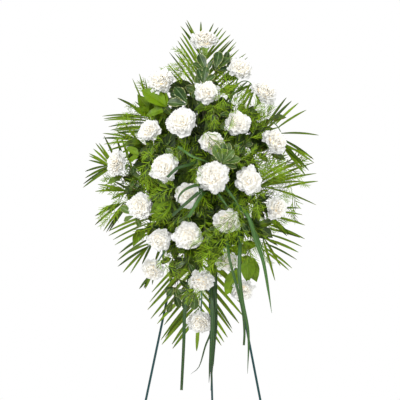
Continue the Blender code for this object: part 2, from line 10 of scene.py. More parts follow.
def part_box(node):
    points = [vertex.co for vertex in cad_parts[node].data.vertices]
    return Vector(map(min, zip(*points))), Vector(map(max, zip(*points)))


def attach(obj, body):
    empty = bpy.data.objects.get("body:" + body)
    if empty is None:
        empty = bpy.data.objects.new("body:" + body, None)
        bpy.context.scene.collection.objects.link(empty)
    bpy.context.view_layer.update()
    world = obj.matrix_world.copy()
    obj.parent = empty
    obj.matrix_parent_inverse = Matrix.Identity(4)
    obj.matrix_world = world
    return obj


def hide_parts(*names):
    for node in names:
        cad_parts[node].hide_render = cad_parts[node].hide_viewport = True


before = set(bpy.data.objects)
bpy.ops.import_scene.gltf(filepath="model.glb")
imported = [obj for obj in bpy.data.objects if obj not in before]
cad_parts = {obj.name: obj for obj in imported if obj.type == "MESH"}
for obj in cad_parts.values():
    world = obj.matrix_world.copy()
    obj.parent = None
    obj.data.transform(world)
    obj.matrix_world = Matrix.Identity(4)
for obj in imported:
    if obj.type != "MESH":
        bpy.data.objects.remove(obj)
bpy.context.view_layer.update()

# ---------------------------------------------------------------- places in the spray

bar_low, bar_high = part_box("hinge_bar")
WIRE = (bar_high.z - bar_low.z) / 2
leg_low, leg_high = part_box("front_leg_left")
LEAN = math.atan2(leg_high.y - leg_low.y - 2 * WIRE, leg_high.z)
FRONT = Vector((0, -math.cos(LEAN), math.sin(LEAN)))
UPWARD = Vector((0, math.sin(LEAN), math.cos(LEAN)))
ACROSS = Vector((1, 0, 0))
foot_of_legs = Vector((0, leg_low.y + WIRE / math.cos(LEAN), 0))
foam_low, foam_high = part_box("foam_block")
foam_middle = (foam_low + foam_high) / 2
# The point of the legs' plane right behind the middle of the foam.
HEART = foam_middle - FRONT * (foam_middle - foot_of_legs).dot(FRONT)
HEART.x = 0

# The dome of flowers: how far its crown stands ahead of the legs, and how fast it falls away to the sides and the ends.
DOME_CROWN = 0.240
DOME_FALL_ACROSS = 2.2
DOME_FALL_UP = 1.1
# How far ahead of the legs the stems leave the foam.
STEM_EXIT = 0.055

# One seed for each kind of growth. Where several patterns are made, each adds its number.
SEEDS = {
    "bloom": 40, "carnations": 11, "palm": 23, "leaves": 31, "backing": 37, "filling": 38, "branchlet": 60,
    "plume": 70, "fern": 83,
}

# Even places along a stem or leaf.
QUARTERS = (0, 0.25, 0.5, 0.75, 1)
FIFTHS = (0, 0.2, 0.4, 0.6, 0.8, 1)


def spot(across, up, ahead):
    """A place in the spray: across and up from the middle of the foam, and ahead of the front legs."""
    return Vector((across, HEART.y + up * math.tan(LEAN) - ahead, HEART.z + up))


def spot_in_mm(*place):
    """The same, from a place in millimetres."""
    return spot(*(value / 1000 for value in place))


def dome_ahead(across, up):
    """How far ahead of the legs the dome of flowers stands there."""
    return DOME_CROWN - DOME_FALL_ACROSS * across**2 - DOME_FALL_UP * up**2


# ---------------------------------------------------------------- reading the solids' stems


def corners_and_edges(node):
    """The corners of a solid, each once, and its edges as pairs of them."""
    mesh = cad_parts[node].data
    places = np.array([vert.co for vert in mesh.vertices])
    corners, index = np.unique(np.round(places, 6), axis=0, return_inverse=True)
    index = index.reshape(-1)
    edges = index[np.array([edge.vertices[:] for edge in mesh.edges])]
    return corners, edges


def rings_along(node, reach=0.012):
    """The cross-sections of a swept solid, from the one deepest in the foam outwards."""
    corners, edges = corners_and_edges(node)
    near = [set() for _ in corners]
    for a, b in edges:
        near[a].add(b)
        near[b].add(a)
    first = corners[np.linalg.norm(corners - np.array(foam_middle), axis=1).argmin()]
    ring = set(np.flatnonzero(np.linalg.norm(corners - first, axis=1) < reach))
    met = set(ring)
    rings = []
    while ring:
        rings.append(corners[sorted(ring)])
        ring = set().union(*(near[i] for i in ring)) - met
        met |= ring
    return rings


def middle(ring):
    return Vector(ring.mean(axis=0))


def girth(ring):
    """Mean distance of a section's corners from its middle."""
    return float(np.linalg.norm(ring - ring.mean(axis=0), axis=1).mean())


def straight_stem(node, near_axis=0.0026):
    """Foot and tip of a stem with a pair of leaves at each joint."""
    corners, _ = corners_and_edges(node)
    foot = middle(rings_along(node)[0])
    along = (Vector(corners.mean(axis=0)) - foot).normalized()
    reach = (corners - np.array(foot)) @ np.array(along)
    aside = np.linalg.norm(corners - np.array(foot) - reach[:, None] * np.array(along), axis=1)
    return foot, foot + along * float(reach[aside < near_axis].max())


# ---------------------------------------------------------------- bench work


def put_down():
    bpy.ops.object.select_all(action="DESELECT")


def take_up(piece):
    put_down()
    piece.select_set(True)
    bpy.context.view_layer.objects.active = piece


def start_edit(piece):
    take_up(piece)
    bpy.ops.object.mode_set(mode="EDIT")
    bpy.ops.mesh.select_all(action="DESELECT")


def end_edit():
    bpy.ops.object.mode_set(mode="OBJECT")


def grasp(piece, test):
    """Select the points that pass the test, and the faces between them."""
    bpy.ops.mesh.select_all(action="DESELECT")
    shape = bmesh.from_edit_mesh(piece.data)
    for vert in shape.verts:
        vert.select = test(vert.co)
    shape.select_flush(True)
    bmesh.update_edit_mesh(piece.data)


def named(name):
    piece = bpy.context.object
    piece.name = name
    return piece


def settle(piece):
    """Put the place and turn of a piece into its mesh."""
    take_up(piece)
    bpy.ops.object.transform_apply(location=True, rotation=True, scale=True)
    return piece


def use(piece, kind, **settings):
    """Add a modifier and apply it."""
    take_up(piece)
    modifier = piece.modifiers.new(kind.lower(), kind)
    for key, value in settings.items():
        setattr(modifier, key, value)
    bpy.ops.object.modifier_apply(modifier=modifier.name)


def places_of(piece):
    places = np.empty(len(piece.data.vertices) * 3)
    piece.data.vertices.foreach_get("co", places)
    return places.reshape(-1, 3)


def move_to(piece, places):
    piece.data.vertices.foreach_set("co", np.ascontiguousarray(places, dtype=np.float32).ravel())
    piece.data.update()


def tint(piece, tone):
    """How light this piece's green or white is, from 0 to 1: its own tone, and on pieces that lie deep, painted shade.
    """
    layer = piece.data.attributes.get("tone") or piece.data.attributes.new("tone", "FLOAT", "POINT")
    layer.data.foreach_set("value", np.full(len(piece.data.vertices), tone, dtype=np.float32))


def shift_tint(piece, by):
    layer = piece.data.attributes["tone"]
    tones = np.empty(len(piece.data.vertices), dtype=np.float32)
    layer.data.foreach_get("value", tones)
    layer.data.foreach_set("value", np.clip(tones + by, 0, 1).astype(np.float32))


def copy_of(part, matrix, tone=None):
    """A copy with its own mesh, moved by the matrix."""
    piece = part.copy()
    piece.data = part.data.copy()
    bpy.context.scene.collection.objects.link(piece)
    piece.data.transform(matrix)
    if tone is not None:
        tint(piece, tone)
    return piece


def join(name, parts):
    """One piece of several."""
    put_down()
    for part in parts:
        part.select_set(True)
    bpy.context.view_layer.objects.active = parts[0]
    if len(parts) > 1:
        bpy.ops.object.join()
    parts[0].name = name
    parts[0].data.name = name
    return parts[0]


def shelve(*pieces):
    """Take pattern pieces out of the scene once their copies are made."""
    for piece in pieces:
        bpy.data.objects.remove(piece)


def smooth(piece, angle):
    """Shade it smooth, apart from edges bent by more than the angle, in degrees."""
    take_up(piece)
    bpy.ops.object.shade_smooth_by_angle(angle=math.radians(angle))


def finished(piece, body, slot, *nodes):
    """The piece rides with its body and stands for its solids, which are hidden. The slot is not used."""
    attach(piece, body)
    if nodes:
        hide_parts(*nodes)


# ---------------------------------------------------------------- curves and wires


def curve_through(points, steps=6):
    """Points of a smooth curve through the given ones."""
    ends = [points[0] * 2 - points[1], *points, points[-1] * 2 - points[-2]]
    run = []
    for a, b, c, d in zip(ends, ends[1:], ends[2:], ends[3:]):
        for step in range(steps):
            t = step / steps
            run.append(
                (b * 2 + (c - a) * t + (a * 2 - b * 5 + c * 4 - d) * t**2
                 + (b * 3 - a - c * 3 + d) * t**3) / 2
            )
    return [*run, points[-1]]


def bent_between(first, second, third, last):
    """Points of a curve that sets out from the first towards the second and comes to the last from the third."""
    return [
        first * (1 - t) ** 3 + second * (3 * t * (1 - t) ** 2) + third * (3 * t**2 * (1 - t)) + last * t**3
        for t in (0, 0.15, 0.3, 0.45, 0.6, 0.75, 0.9, 1)
    ]


def length_of(points):
    return sum((b - a).length for a, b in zip(points, points[1:]))


def point_along(points, distance):
    """The place this far along the points, and the way they run there."""
    for first, second in zip(points, points[1:]):
        way = (second - first).normalized()
        if distance <= (second - first).length or second is points[-1]:
            return first + way * distance, way
        distance -= (second - first).length


def stem(name, points, radius, tip_radius, finish, sides=2):
    """A round stem through the points, thinner towards its tip."""
    curve = bpy.data.curves.new(name, "CURVE")
    curve.dimensions = "3D"
    curve.bevel_depth = radius
    curve.bevel_resolution = sides
    curve.use_fill_caps = True
    spline = curve.splines.new("POLY")
    spline.points.add(len(points) - 1)
    for i, point in enumerate(points):
        spline.points[i].co = (*point, 1)
        share = i / (len(points) - 1)
        spline.points[i].radius = 1 + (tip_radius / radius - 1) * share
    piece = bpy.data.objects.new(name, curve)
    bpy.context.scene.collection.objects.link(piece)
    take_up(piece)
    bpy.ops.object.convert(target="MESH")
    piece.data.materials.clear()
    piece.data.materials.append(finish)
    tint(piece, 0.5)
    return piece


def lay_along(piece, points, face, tip):
    """Bend a piece made along +Y so that its point at Y = tip meets the path's end, facing this way."""
    run = np.array([point[:] for point in points])
    spans = np.linalg.norm(np.diff(run, axis=0), axis=1)
    marks = np.concatenate([[0], np.cumsum(spans)])
    along = np.gradient(run, marks, axis=0)
    along /= np.linalg.norm(along, axis=1)[:, None]
    across = np.empty_like(along)
    side = np.cross(along[-1], np.array(face))
    for i in range(len(run) - 1, -1, -1):
        side = side - along[i] * side.dot(along[i])
        side /= np.linalg.norm(side)
        across[i] = side
    out = np.cross(across, along)
    shape = places_of(piece)
    mark = marks[-1] - tip + shape[:, 1]
    held = np.clip(mark, 0, marks[-1])

    def read(values):
        return np.stack([np.interp(held, marks, values[:, k]) for k in range(3)], axis=1)

    places = read(run) + read(across) * shape[:, :1] + read(out) * shape[:, 2:3]
    places += read(along) * (mark - held)[:, None]
    move_to(piece, places)


# ---------------------------------------------------------------- finishes


def new_finish(name, sockets=None):
    finish = bpy.data.materials.new(name)
    finish.use_nodes = True
    shader = finish.node_tree.nodes["Principled BSDF"]
    for socket, value in (sockets or {}).items():
        shader.inputs[socket].default_value = value
    return finish, finish.node_tree


def leaf_finish(name, gloss, glow):
    """A new finish that lets a little light through."""
    return new_finish(name, {"Specular IOR Level": gloss, "Subsurface Weight": glow, "Subsurface Scale": 0.002})


def node(tree, kind, inputs=None, **settings):
    made = tree.nodes.new(f"ShaderNode{kind}")
    for key, value in settings.items():
        setattr(made, key, value)
    for key, value in (inputs or {}).items():
        if isinstance(value, bpy.types.NodeSocket):
            tree.links.new(value, made.inputs[key])
        else:
            made.inputs[key].default_value = value
    return made


def maths(tree, operation, a, b=0.0):
    return node(tree, "Math", {0: a, 1: b}, operation=operation).outputs[0]


def plus(tree, a, b):
    return maths(tree, "ADD", a, b)


def minus(tree, a, b):
    return maths(tree, "SUBTRACT", a, b)


def times(tree, a, b):
    return maths(tree, "MULTIPLY", a, b)


def rest_of(tree, share):
    """One less the share."""
    return minus(tree, 1.0, share)


def between(tree, value, low, high):
    """0 below low and 1 above high, smoothly."""
    reach = {"Value": value, "From Min": low, "From Max": high}
    return node(tree, "MapRange", reach, interpolation_type="SMOOTHSTEP").outputs["Result"]


def ranged(tree, value, low, high):
    """A value from 0 to 1, spread evenly from low to high."""
    return node(tree, "MapRange", {"Value": value, "To Min": low, "To Max": high}).outputs["Result"]


def mixed(tree, share, *shades):
    """From the first shade to the second by the share. A plain shade is given as its red, green and blue."""
    first, second = ((*shade, 1) if isinstance(shade, tuple) else shade for shade in shades)
    return node(tree, "Mix", {0: share, 6: first, 7: second}, data_type="RGBA").outputs[2]


def washed(tree, base, share, strength, wash):
    """The base shade under a wash, which is this strong where the share is one."""
    return mixed(tree, times(tree, share, strength), base, wash)


def speckle(tree, scale, detail=2.0, stretch=(1, 1, 1)):
    """Noise over the object, from 0 to 1."""
    place = node(tree, "TexCoord").outputs["Object"]
    spread = node(tree, "Mapping", {"Vector": place, "Scale": stretch}).outputs[0]
    return node(tree, "TexNoise", {"Vector": spread, "Scale": scale, "Detail": detail}).outputs["Fac"]


def streaks(tree, across, along, detail=2.0):
    """Noise drawn out along a leaf or petal."""
    ways = node(tree, "UVMap", uv_map="UVMap").outputs["UV"]
    spread = node(tree, "Mapping", {"Vector": ways, "Scale": (across, along, 1)}).outputs[0]
    return node(tree, "TexNoise", {"Vector": spread, "Scale": 1.0, "Detail": detail}).outputs["Fac"]


def leaf_ways(tree):
    """Along a leaf from its foot to its tip, and aside from its midrib to its edge, both 0 to 1."""
    ways = node(tree, "UVMap", uv_map="UVMap").outputs["UV"]
    split = node(tree, "SeparateXYZ", {0: ways})
    aside = times(tree, maths(tree, "ABSOLUTE", minus(tree, split.outputs["X"], 0.5)), 2.0)
    return split.outputs["Y"], aside


def toned(tree, dark, light, patches, spread=0.35):
    """The leaf's green, between dark and light by its tone, with soft patches. Low tones on deep pieces are painted
    shade.
    """
    patch = minus(tree, speckle(tree, patches), 0.5)
    tone = node(tree, "Attribute", attribute_name="tone").outputs["Fac"]
    share = plus(tree, tone, times(tree, patch, spread * 2))
    return mixed(tree, between(tree, share, 0.0, 1.0), dark, light)


def finish_off(finish, shade, rough=None, relief=None):
    """Give a finish its shade, its roughness and its relief: the height, how strong it is and how deep."""
    tree = finish.node_tree
    shader = tree.nodes["Principled BSDF"]
    tree.links.new(shade, shader.inputs["Base Color"])
    if rough is not None:
        tree.links.new(rough, shader.inputs["Roughness"])
    if relief is not None:
        height, strength, distance = relief
        bump = node(tree, "Bump", {"Height": height, "Strength": strength, "Distance": distance})
        tree.links.new(bump.outputs["Normal"], shader.inputs["Normal"])
    return finish


def petal_finish():
    """White petals, cream towards the heart, with fine veins that run out to the fringe. The outer petals are painted a
    greyer white as shade, with painted grey shade streaks where they fold.
    """
    finish, tree = new_finish("carnation_petal", {
        "Subsurface Weight": 0.20, "Subsurface Scale": 0.005, "Subsurface Radius": (1.0, 0.95, 0.85),
        "Specular IOR Level": 0.3, "Sheen Weight": 0.1, "Sheen Roughness": 0.5,
    })
    along, _ = leaf_ways(tree)
    heart = node(tree, "Attribute", attribute_name="heart").outputs["Fac"]
    foot = rest_of(tree, along)
    veins = streaks(tree, 46, 2.5)
    cream = plus(tree, times(tree, heart, 0.28), times(tree, foot, 0.80))
    cream = plus(tree, cream, times(tree, minus(tree, veins, 0.5), 0.35))
    # Painted shade: the outer petals are a greyer white than the heart.
    white = mixed(tree, between(tree, heart, 0.0, 0.85), (0.835, 0.840, 0.820), (0.980, 0.968, 0.925))
    shade = mixed(tree, between(tree, cream, 0.15, 0.80), white, (0.975, 0.925, 0.770))
    outside = times(tree, rest_of(tree, heart), between(tree, along, 0.35, 0.9))
    # Painted shade: grey streaks where the outer petals fold, towards the rim.
    painted_pleat_shade = times(tree, outside, between(tree, streaks(tree, 9, 0.6, 1.0), 0.46, 0.66))
    shade = washed(tree, shade, painted_pleat_shade, 0.42, (0.60, 0.61, 0.585))
    warm = times(tree, between(tree, foot, 0.04, 0.25), between(tree, heart, 0.45, 0.85))
    spots = times(tree, warm, between(tree, streaks(tree, 7, 4), 0.54, 0.62))
    shade = washed(tree, shade, spots, 0.75, (0.98, 0.72, 0.36))
    return finish_off(finish, shade, ranged(tree, veins, 0.5, 0.72), (veins, 0.25, 0.0006))


def calyx_finish():
    """Bright green, paler along the ribs."""
    finish, tree = new_finish("carnation_calyx", {"Subsurface Weight": 0.15, "Subsurface Scale": 0.003})
    ribs = speckle(tree, 260, 1.0, (1, 1, 0.15))
    green = toned(tree, (0.16, 0.32, 0.030), (0.34, 0.55, 0.060), 40)
    green = mixed(tree, between(tree, ribs, 0.35, 0.7), green, (0.42, 0.58, 0.16))
    return finish_off(finish, green, ranged(tree, ribs, 0.35, 0.55), (ribs, 0.4, 0.0008))


def flower_stem_finish():
    """Blue-green, with a pale waxy coat that has rubbed off in places."""
    finish, tree = new_finish("carnation_stem", {"Specular IOR Level": 0.35})
    wax = speckle(tree, 85, 4.0, (1, 1, 0.35))
    green = mixed(tree, between(tree, wax, 0.36, 0.66), (0.035, 0.115, 0.055), (0.16, 0.30, 0.26))
    grain = speckle(tree, 600, 1.0, (1, 1, 0.1))
    return finish_off(finish, green, ranged(tree, wax, 0.38, 0.7), (grain, 0.2, 0.0004))


def palm_finish():
    """Narrow leaflets with a pale midrib, fine lines beside it and a dry tip."""
    finish, tree = leaf_finish("palm_leaflet", 0.2, 0.10)
    along, aside = leaf_ways(tree)
    green = toned(tree, (0.028, 0.068, 0.002), (0.190, 0.308, 0.006), 9)
    lines = streaks(tree, 38, 1.2)
    green = washed(tree, green, between(tree, lines, 0.45, 0.75), 0.35, (0.13, 0.22, 0.02))
    rib = rest_of(tree, between(tree, aside, 0.03, 0.16))
    green = washed(tree, green, rib, 0.55, (0.19, 0.28, 0.05))
    green = washed(tree, green, between(tree, along, 0.955, 1.0), 0.6, (0.32, 0.26, 0.10))
    return finish_off(finish, green, ranged(tree, lines, 0.34, 0.5), (lines, 0.35, 0.0005))


def salal_finish():
    """Leathery glossy leaves, netted between side veins that run forwards from the midrib."""
    finish, tree = leaf_finish("salal_leaf", 0.22, 0.08)
    along, aside = leaf_ways(tree)
    # The dark end is near black: painted shade for salal leaves that lie deep.
    green = toned(tree, (0.006, 0.016, 0.001), (0.150, 0.266, 0.002), 55, 0.6)
    sweep = minus(tree, along, times(tree, aside, 0.30))
    veins = between(tree, maths(tree, "SINE", times(tree, sweep, 44.0)), 0.86, 1.0)
    place = node(tree, "TexCoord").outputs["Object"]
    net = node(tree, "TexVoronoi", {"Vector": place, "Scale": 420.0}, feature="DISTANCE_TO_EDGE")
    cells = between(tree, net.outputs["Distance"], 0.0, 0.12)
    rib = rest_of(tree, between(tree, aside, 0.02, 0.085))
    lines = maths(tree, "MAXIMUM", times(tree, veins, 0.55), rib)
    green = washed(tree, green, rest_of(tree, cells), 0.25, (0.07, 0.16, 0.01))
    green = washed(tree, green, lines, 0.5, (0.22, 0.33, 0.03))
    height = minus(tree, times(tree, cells, 0.4), lines)
    return finish_off(finish, green, ranged(tree, speckle(tree, 60, 3.0), 0.24, 0.46), (height, 0.5, 0.0006))


def pittosporum_finish():
    """Grey-green leaves with an uneven cream margin and a pale midrib."""
    finish, tree = leaf_finish("pittosporum_leaf", 0.28, 0.10)
    along, aside = leaf_ways(tree)
    green = toned(tree, (0.012, 0.040, 0.004), (0.105, 0.180, 0.026), 60, 0.6)
    ends = times(tree, maths(tree, "ABSOLUTE", minus(tree, along, 0.5)), 1.9)
    rim = maths(tree, "MAXIMUM", aside, ends)
    rim = plus(tree, rim, times(tree, minus(tree, speckle(tree, 230), 0.5), 0.55))
    rib = rest_of(tree, between(tree, aside, 0.03, 0.13))
    green = washed(tree, green, rib, 0.5, (0.24, 0.34, 0.16))
    green = washed(tree, green, between(tree, rim, 0.88, 0.98), 0.75, (0.52, 0.55, 0.24))
    height = minus(tree, speckle(tree, 300, 1.0), rib)
    return finish_off(finish, green, ranged(tree, speckle(tree, 90), 0.26, 0.45), (height, 0.3, 0.0006))


def grass_finish():
    """Dark blue-green blades, ribbed along their length, with a paler middle that is a painted highlight along the
    fold.
    """
    finish, tree = leaf_finish("lily_grass_blade", 0.4, 0.06)
    _, aside = leaf_ways(tree)
    green = toned(tree, (0.006, 0.022, 0.003), (0.050, 0.140, 0.018), 7)
    ribs = streaks(tree, 30, 0.7, 1.0)
    green = washed(tree, green, between(tree, ribs, 0.45, 0.7), 0.45, (0.045, 0.125, 0.022))
    # Painted highlight: a paler band along the middle of the blade, where it folds.
    keel_highlight = rest_of(tree, between(tree, aside, 0.03, 0.20))
    green = washed(tree, green, keel_highlight, 0.35, (0.12, 0.25, 0.07))
    return finish_off(finish, green, ranged(tree, ribs, 0.26, 0.42), (ribs, 0.6, 0.0008))


def fern_finish():
    """Fine needles, from a painted near-black shade to a fresh yellow-green."""
    finish, tree = leaf_finish("tree_fern_needle", 0.15, 0.10)
    green = toned(tree, (0.003, 0.009, 0.0006), (0.228, 0.378, 0.011), 30, 0.2)
    green = washed(tree, green, between(tree, speckle(tree, 400, 1.0), 0.5, 0.75), 0.15, (0.16, 0.26, 0.03))
    return finish_off(finish, green, ranged(tree, speckle(tree, 200), 0.4, 0.6))


def twig_finish(name, dark, light):
    finish, tree = new_finish(name)
    bark = speckle(tree, 180, 4.0, (1, 1, 0.3))
    shade = mixed(tree, between(tree, bark, 0.35, 0.65), dark, light)
    return finish_off(finish, shade, ranged(tree, bark, 0.45, 0.75), (bark, 0.5, 0.0006))


def enamel_finish():
    """Dark blue-green stove enamel with a slight orange peel, rubbed dull where it stands on the floor."""
    finish, tree = new_finish(
        "easel_enamel", {"Specular IOR Level": 0.25, "Coat Weight": 0.12, "Coat Roughness": 0.2}
    )
    place = node(tree, "TexCoord").outputs["Object"]
    height = node(tree, "SeparateXYZ", {0: place}).outputs["Z"]
    cloud = speckle(tree, 30, 3.0)
    base = mixed(tree, cloud, (0.002, 0.034, 0.036), (0.005, 0.052, 0.052))
    low = plus(tree, height, times(tree, minus(tree, speckle(tree, 220), 0.5), 0.02))
    rubbed = rest_of(tree, between(tree, low, 0.002, 0.009))
    base = washed(tree, base, rubbed, 0.7, (0.10, 0.11, 0.11))
    rough = plus(tree, ranged(tree, cloud, 0.26, 0.42), times(tree, rubbed, 0.3))
    return finish_off(finish, base, rough, (speckle(tree, 380, 1.5), 0.18, 0.0005))


def foam_finish():
    """Wet floral foam: fine open cells with painted shade inside them, darker where the water stands."""
    finish, tree = new_finish("wet_foam", {"Specular IOR Level": 0.3})
    place = node(tree, "TexCoord").outputs["Object"]
    cells = node(tree, "TexVoronoi", {"Vector": place, "Scale": 900.0}).outputs["Distance"]
    damp = speckle(tree, 26, 3.0)
    green = mixed(tree, between(tree, damp, 0.35, 0.7), (0.012, 0.060, 0.026), (0.035, 0.125, 0.055))
    # Painted shade: each open cell darkens towards its middle, as the inside of a pore.
    green = mixed(tree, times(tree, between(tree, cells, 0.0, 0.5), 0.5), (0.006, 0.028, 0.014), green)
    return finish_off(finish, green, ranged(tree, damp, 0.55, 0.85), (cells, 0.8, 0.0012))


def plastic_finish(name, dark, light, rough):
    """Moulded plastic, a little scuffed, with a fine spark-eroded grain."""
    finish, tree = new_finish(name)
    scuffs = speckle(tree, 34, 5.0)
    shade = mixed(tree, between(tree, scuffs, 0.3, 0.7), dark, light)
    dullness = ranged(tree, scuffs, rough - 0.08, rough + 0.12)
    return finish_off(finish, shade, dullness, (speckle(tree, 1200), 0.25, 0.0003))


PETAL = petal_finish()
CALYX = calyx_finish()
FLOWER_STEM = flower_stem_finish()
PALM = palm_finish()
SALAL_LEAF = salal_finish()
PITTOSPORUM_LEAF = pittosporum_finish()
GRASS = grass_finish()
FERN = fern_finish()
PALM_RIB = twig_finish("palm_rachis", (0.05, 0.12, 0.012), (0.14, 0.25, 0.035))
SALAL_TWIG = twig_finish("salal_twig", (0.10, 0.05, 0.018), (0.16, 0.17, 0.035))
PITTOSPORUM_TWIG = twig_finish("pittosporum_twig", (0.06, 0.045, 0.025), (0.14, 0.13, 0.06))
FERN_STEM = twig_finish("fern_stem", (0.07, 0.13, 0.015), (0.17, 0.26, 0.04))


# ---------------------------------------------------------------- blanks for leaves and petals


def sheet(name, columns, rows, length, outline, finish):
    """A flat leaf along +Y from its foot at the origin, cut to the widths in the outline."""
    put_down()
    bpy.ops.mesh.primitive_grid_add(
        x_subdivisions=columns, y_subdivisions=rows, size=1, location=(0, 0.5, 0)
    )
    piece = settle(named(name))
    marks, widths = zip(*outline)
    start_edit(piece)
    for row in range(rows + 1):
        share = row / rows
        width = float(np.interp(share, marks, widths))
        grasp(piece, lambda place: abs(place.y - share) < 0.2 / rows)
        bpy.ops.transform.resize(value=(width, 1, 1), center_override=(0, share, 0))
    bpy.ops.mesh.select_all(action="SELECT")
    bpy.ops.transform.resize(value=(1, length, 1), center_override=(0, 0, 0))
    end_edit()
    piece.data.materials.append(finish)
    return piece


def crease(piece, depth, near):
    """Press the midrib down."""
    start_edit(piece)
    grasp(piece, lambda place: abs(place.x) < near)
    bpy.ops.transform.translate(value=(0, 0, -depth))
    end_edit()


def dish(piece, fold, wave=0.0, waves=0.0, phase=0.0):
    """Fold the sides up along the midrib, and wave the edges."""
    places = places_of(piece)
    length = places[:, 1].max()
    aside = np.abs(places[:, 0])
    side = np.sign(places[:, 0])
    ripple = np.sin(places[:, 1] / length * waves * 2 * math.pi + phase + side * 0.9)
    places[:, 2] += fold * aside + wave * (aside / aside.max()) ** 2 * ripple
    move_to(piece, places)


def thicken(piece, thickness, angle):
    use(piece, "SOLIDIFY", thickness=thickness, offset=0)
    smooth(piece, angle)
    tint(piece, 0.5)
    return piece


# ---------------------------------------------------------------- carnations

CARNATIONS = 25
# How many of the sections along a flower's solid belong to its head. The others are its stem.
HEAD_RINGS = 7
# Greenery this near to the rim of a bloom stays this far below the dome.
BLOOM_MARGIN = 0.022
BELOW_BLOOM = 0.050
# Petals of each ring: how many, the lean of their tips, how far inside the bloom, and their width and ruffle.
RINGS = [
    (9, 99, 0.0, 0.92, 1.0), (9, 84, 0.1, 0.90, 1.0), (9, 68, 0.3, 0.92, 0.95), (9, 51, 0.5, 0.86, 0.85),
    (8, 36, 0.7, 0.80, 0.75), (7, 23, 0.85, 0.76, 0.65), (6, 11, 1.0, 0.72, 0.60), (4, -8, 1.0, 0.70, 0.60),
]
PETAL_OUTLINE = [(0, 0.07), (0.2, 0.12), (0.4, 0.21), (0.6, 0.34), (0.8, 0.43), (1, 0.43)]
# Of each pattern petal: how deep its ruffles are, how many, and where they start.
PETAL_RUFFLES = [(0.036, 2.3, 0.3), (0.046, 1.7, 1.7), (0.032, 2.9, 2.9), (0.048, 1.4, 4.1), (0.040, 2.0, 5.0)]
# The green cup, from its foot up to its mouth and down inside, as levels and radii in the bloom's units.
CALYX_MOUTH = -0.27
CALYX_PROFILE = [
    (-0.585, 0.032), (-0.56, 0.066), (-0.50, 0.088), (-0.40, 0.100), (CALYX_MOUTH, 0.112), (-0.25, 0.095),
    (-0.33, 0.07),
]


def petal(name, amplitude, waves, phase):
    """A fringed petal one unit long, which fans out from its claw and ruffles towards its edge."""
    columns, rows = 12, 5
    piece = sheet(name, columns, rows, 1, PETAL_OUTLINE, PETAL)
    places = places_of(piece)
    half = np.interp(places[:, 1], *zip(*PETAL_OUTLINE)) / 2
    aside = places[:, 0] / half
    share = places[:, 1] ** 0.65
    tooth = np.round((aside + 1) * columns / 2) % 2
    places[:, 1] = share - 0.25 * share**3 * aside**2 + np.where(share > 0.99, 0.014 - 0.048 * tooth, 0)
    ruffle = np.sin(aside * waves * math.pi + phase) + 0.3 * np.sin(aside * waves * 2.6 * math.pi + phase * 2)
    places[:, 2] += amplitude * share**1.9 * ruffle
    move_to(piece, places)
    return thicken(piece, 0.005, 60)


def bloom(number, petals):
    """A full head, one unit across, with its heart at the origin and facing +Z."""
    rnd = random.Random(SEEDS["bloom"] + number)
    parts = []
    swell = [(waves, depth, rnd.uniform(0, 2 * math.pi)) for waves, depth in ((2, 0.05), (3, 0.05), (5, 0.04))]
    first = rnd.uniform(0, 2 * math.pi)
    up = Vector((0, 0, 1))
    for count, lean, heart, width, ruffle in RINGS:
        if heart > 0.1:
            first = rnd.uniform(0, 2 * math.pi)
        for i in range(count):
            turn = first + (i + rnd.uniform(-0.25, 0.25)) * 2 * math.pi / count
            angle = math.radians(lean + rnd.uniform(-9, 9))
            roll = math.radians(66 + 0.36 * lean + rnd.uniform(-14, 14))
            size = rnd.uniform(0.94, 1.04)
            if heart < 0.5:
                bulge = sum(depth * math.sin(waves * turn + at) for waves, depth, at in swell)
                size += rnd.uniform(-0.10, 0.06) + bulge
            outward = Vector((math.cos(turn), math.sin(turn), 0))
            foot = outward * 0.03 - up * 0.27
            tip = outward * (0.50 * size * math.sin(angle)) + up * (0.32 * size * math.cos(angle) - 0.05)
            way = outward * math.sin(roll) + up * math.cos(roll)
            path = bent_between(foot, foot + up * 0.18 + outward * (0.06 * math.sin(angle)), tip - way * 0.17, tip)
            face = Matrix.Rotation(rnd.uniform(-0.4, 0.4), 3, way) @ (up * math.sin(roll) - outward * math.cos(roll))
            length = length_of(path)
            part = copy_of(rnd.choice(petals), Matrix.Diagonal((width * rnd.uniform(0.85, 1.1), length, ruffle, 1)))
            lay_along(part, path, face, length)
            mark_heart(part, heart)
            parts.append(part)
    parts.append(packed_heart())
    return join(f"bloom_pattern_{number}", parts)


def mark_heart(part, heart):
    """How far inside the bloom the part sits, from 0 to 1."""
    layer = part.data.attributes.new("heart", "FLOAT", "POINT")
    layer.data.foreach_set("value", np.full(len(part.data.vertices), heart, dtype=np.float32))


def packed_heart():
    """The tight bud of unopened petals under the ruffles."""
    put_down()
    bpy.ops.mesh.primitive_uv_sphere_add(
        segments=14, ring_count=8, radius=1, location=(0, 0, -0.03), scale=(0.30, 0.30, 0.21)
    )
    piece = settle(named("heart_pattern"))
    places = places_of(piece)
    turn = np.arctan2(places[:, 1], places[:, 0])
    places[:, :2] *= (1 + 0.08 * np.sin(5 * turn))[:, None]
    move_to(piece, places)
    piece.data.materials.append(PETAL)
    smooth(piece, 60)
    tint(piece, 0.5)
    mark_heart(piece, 1.0)
    return piece


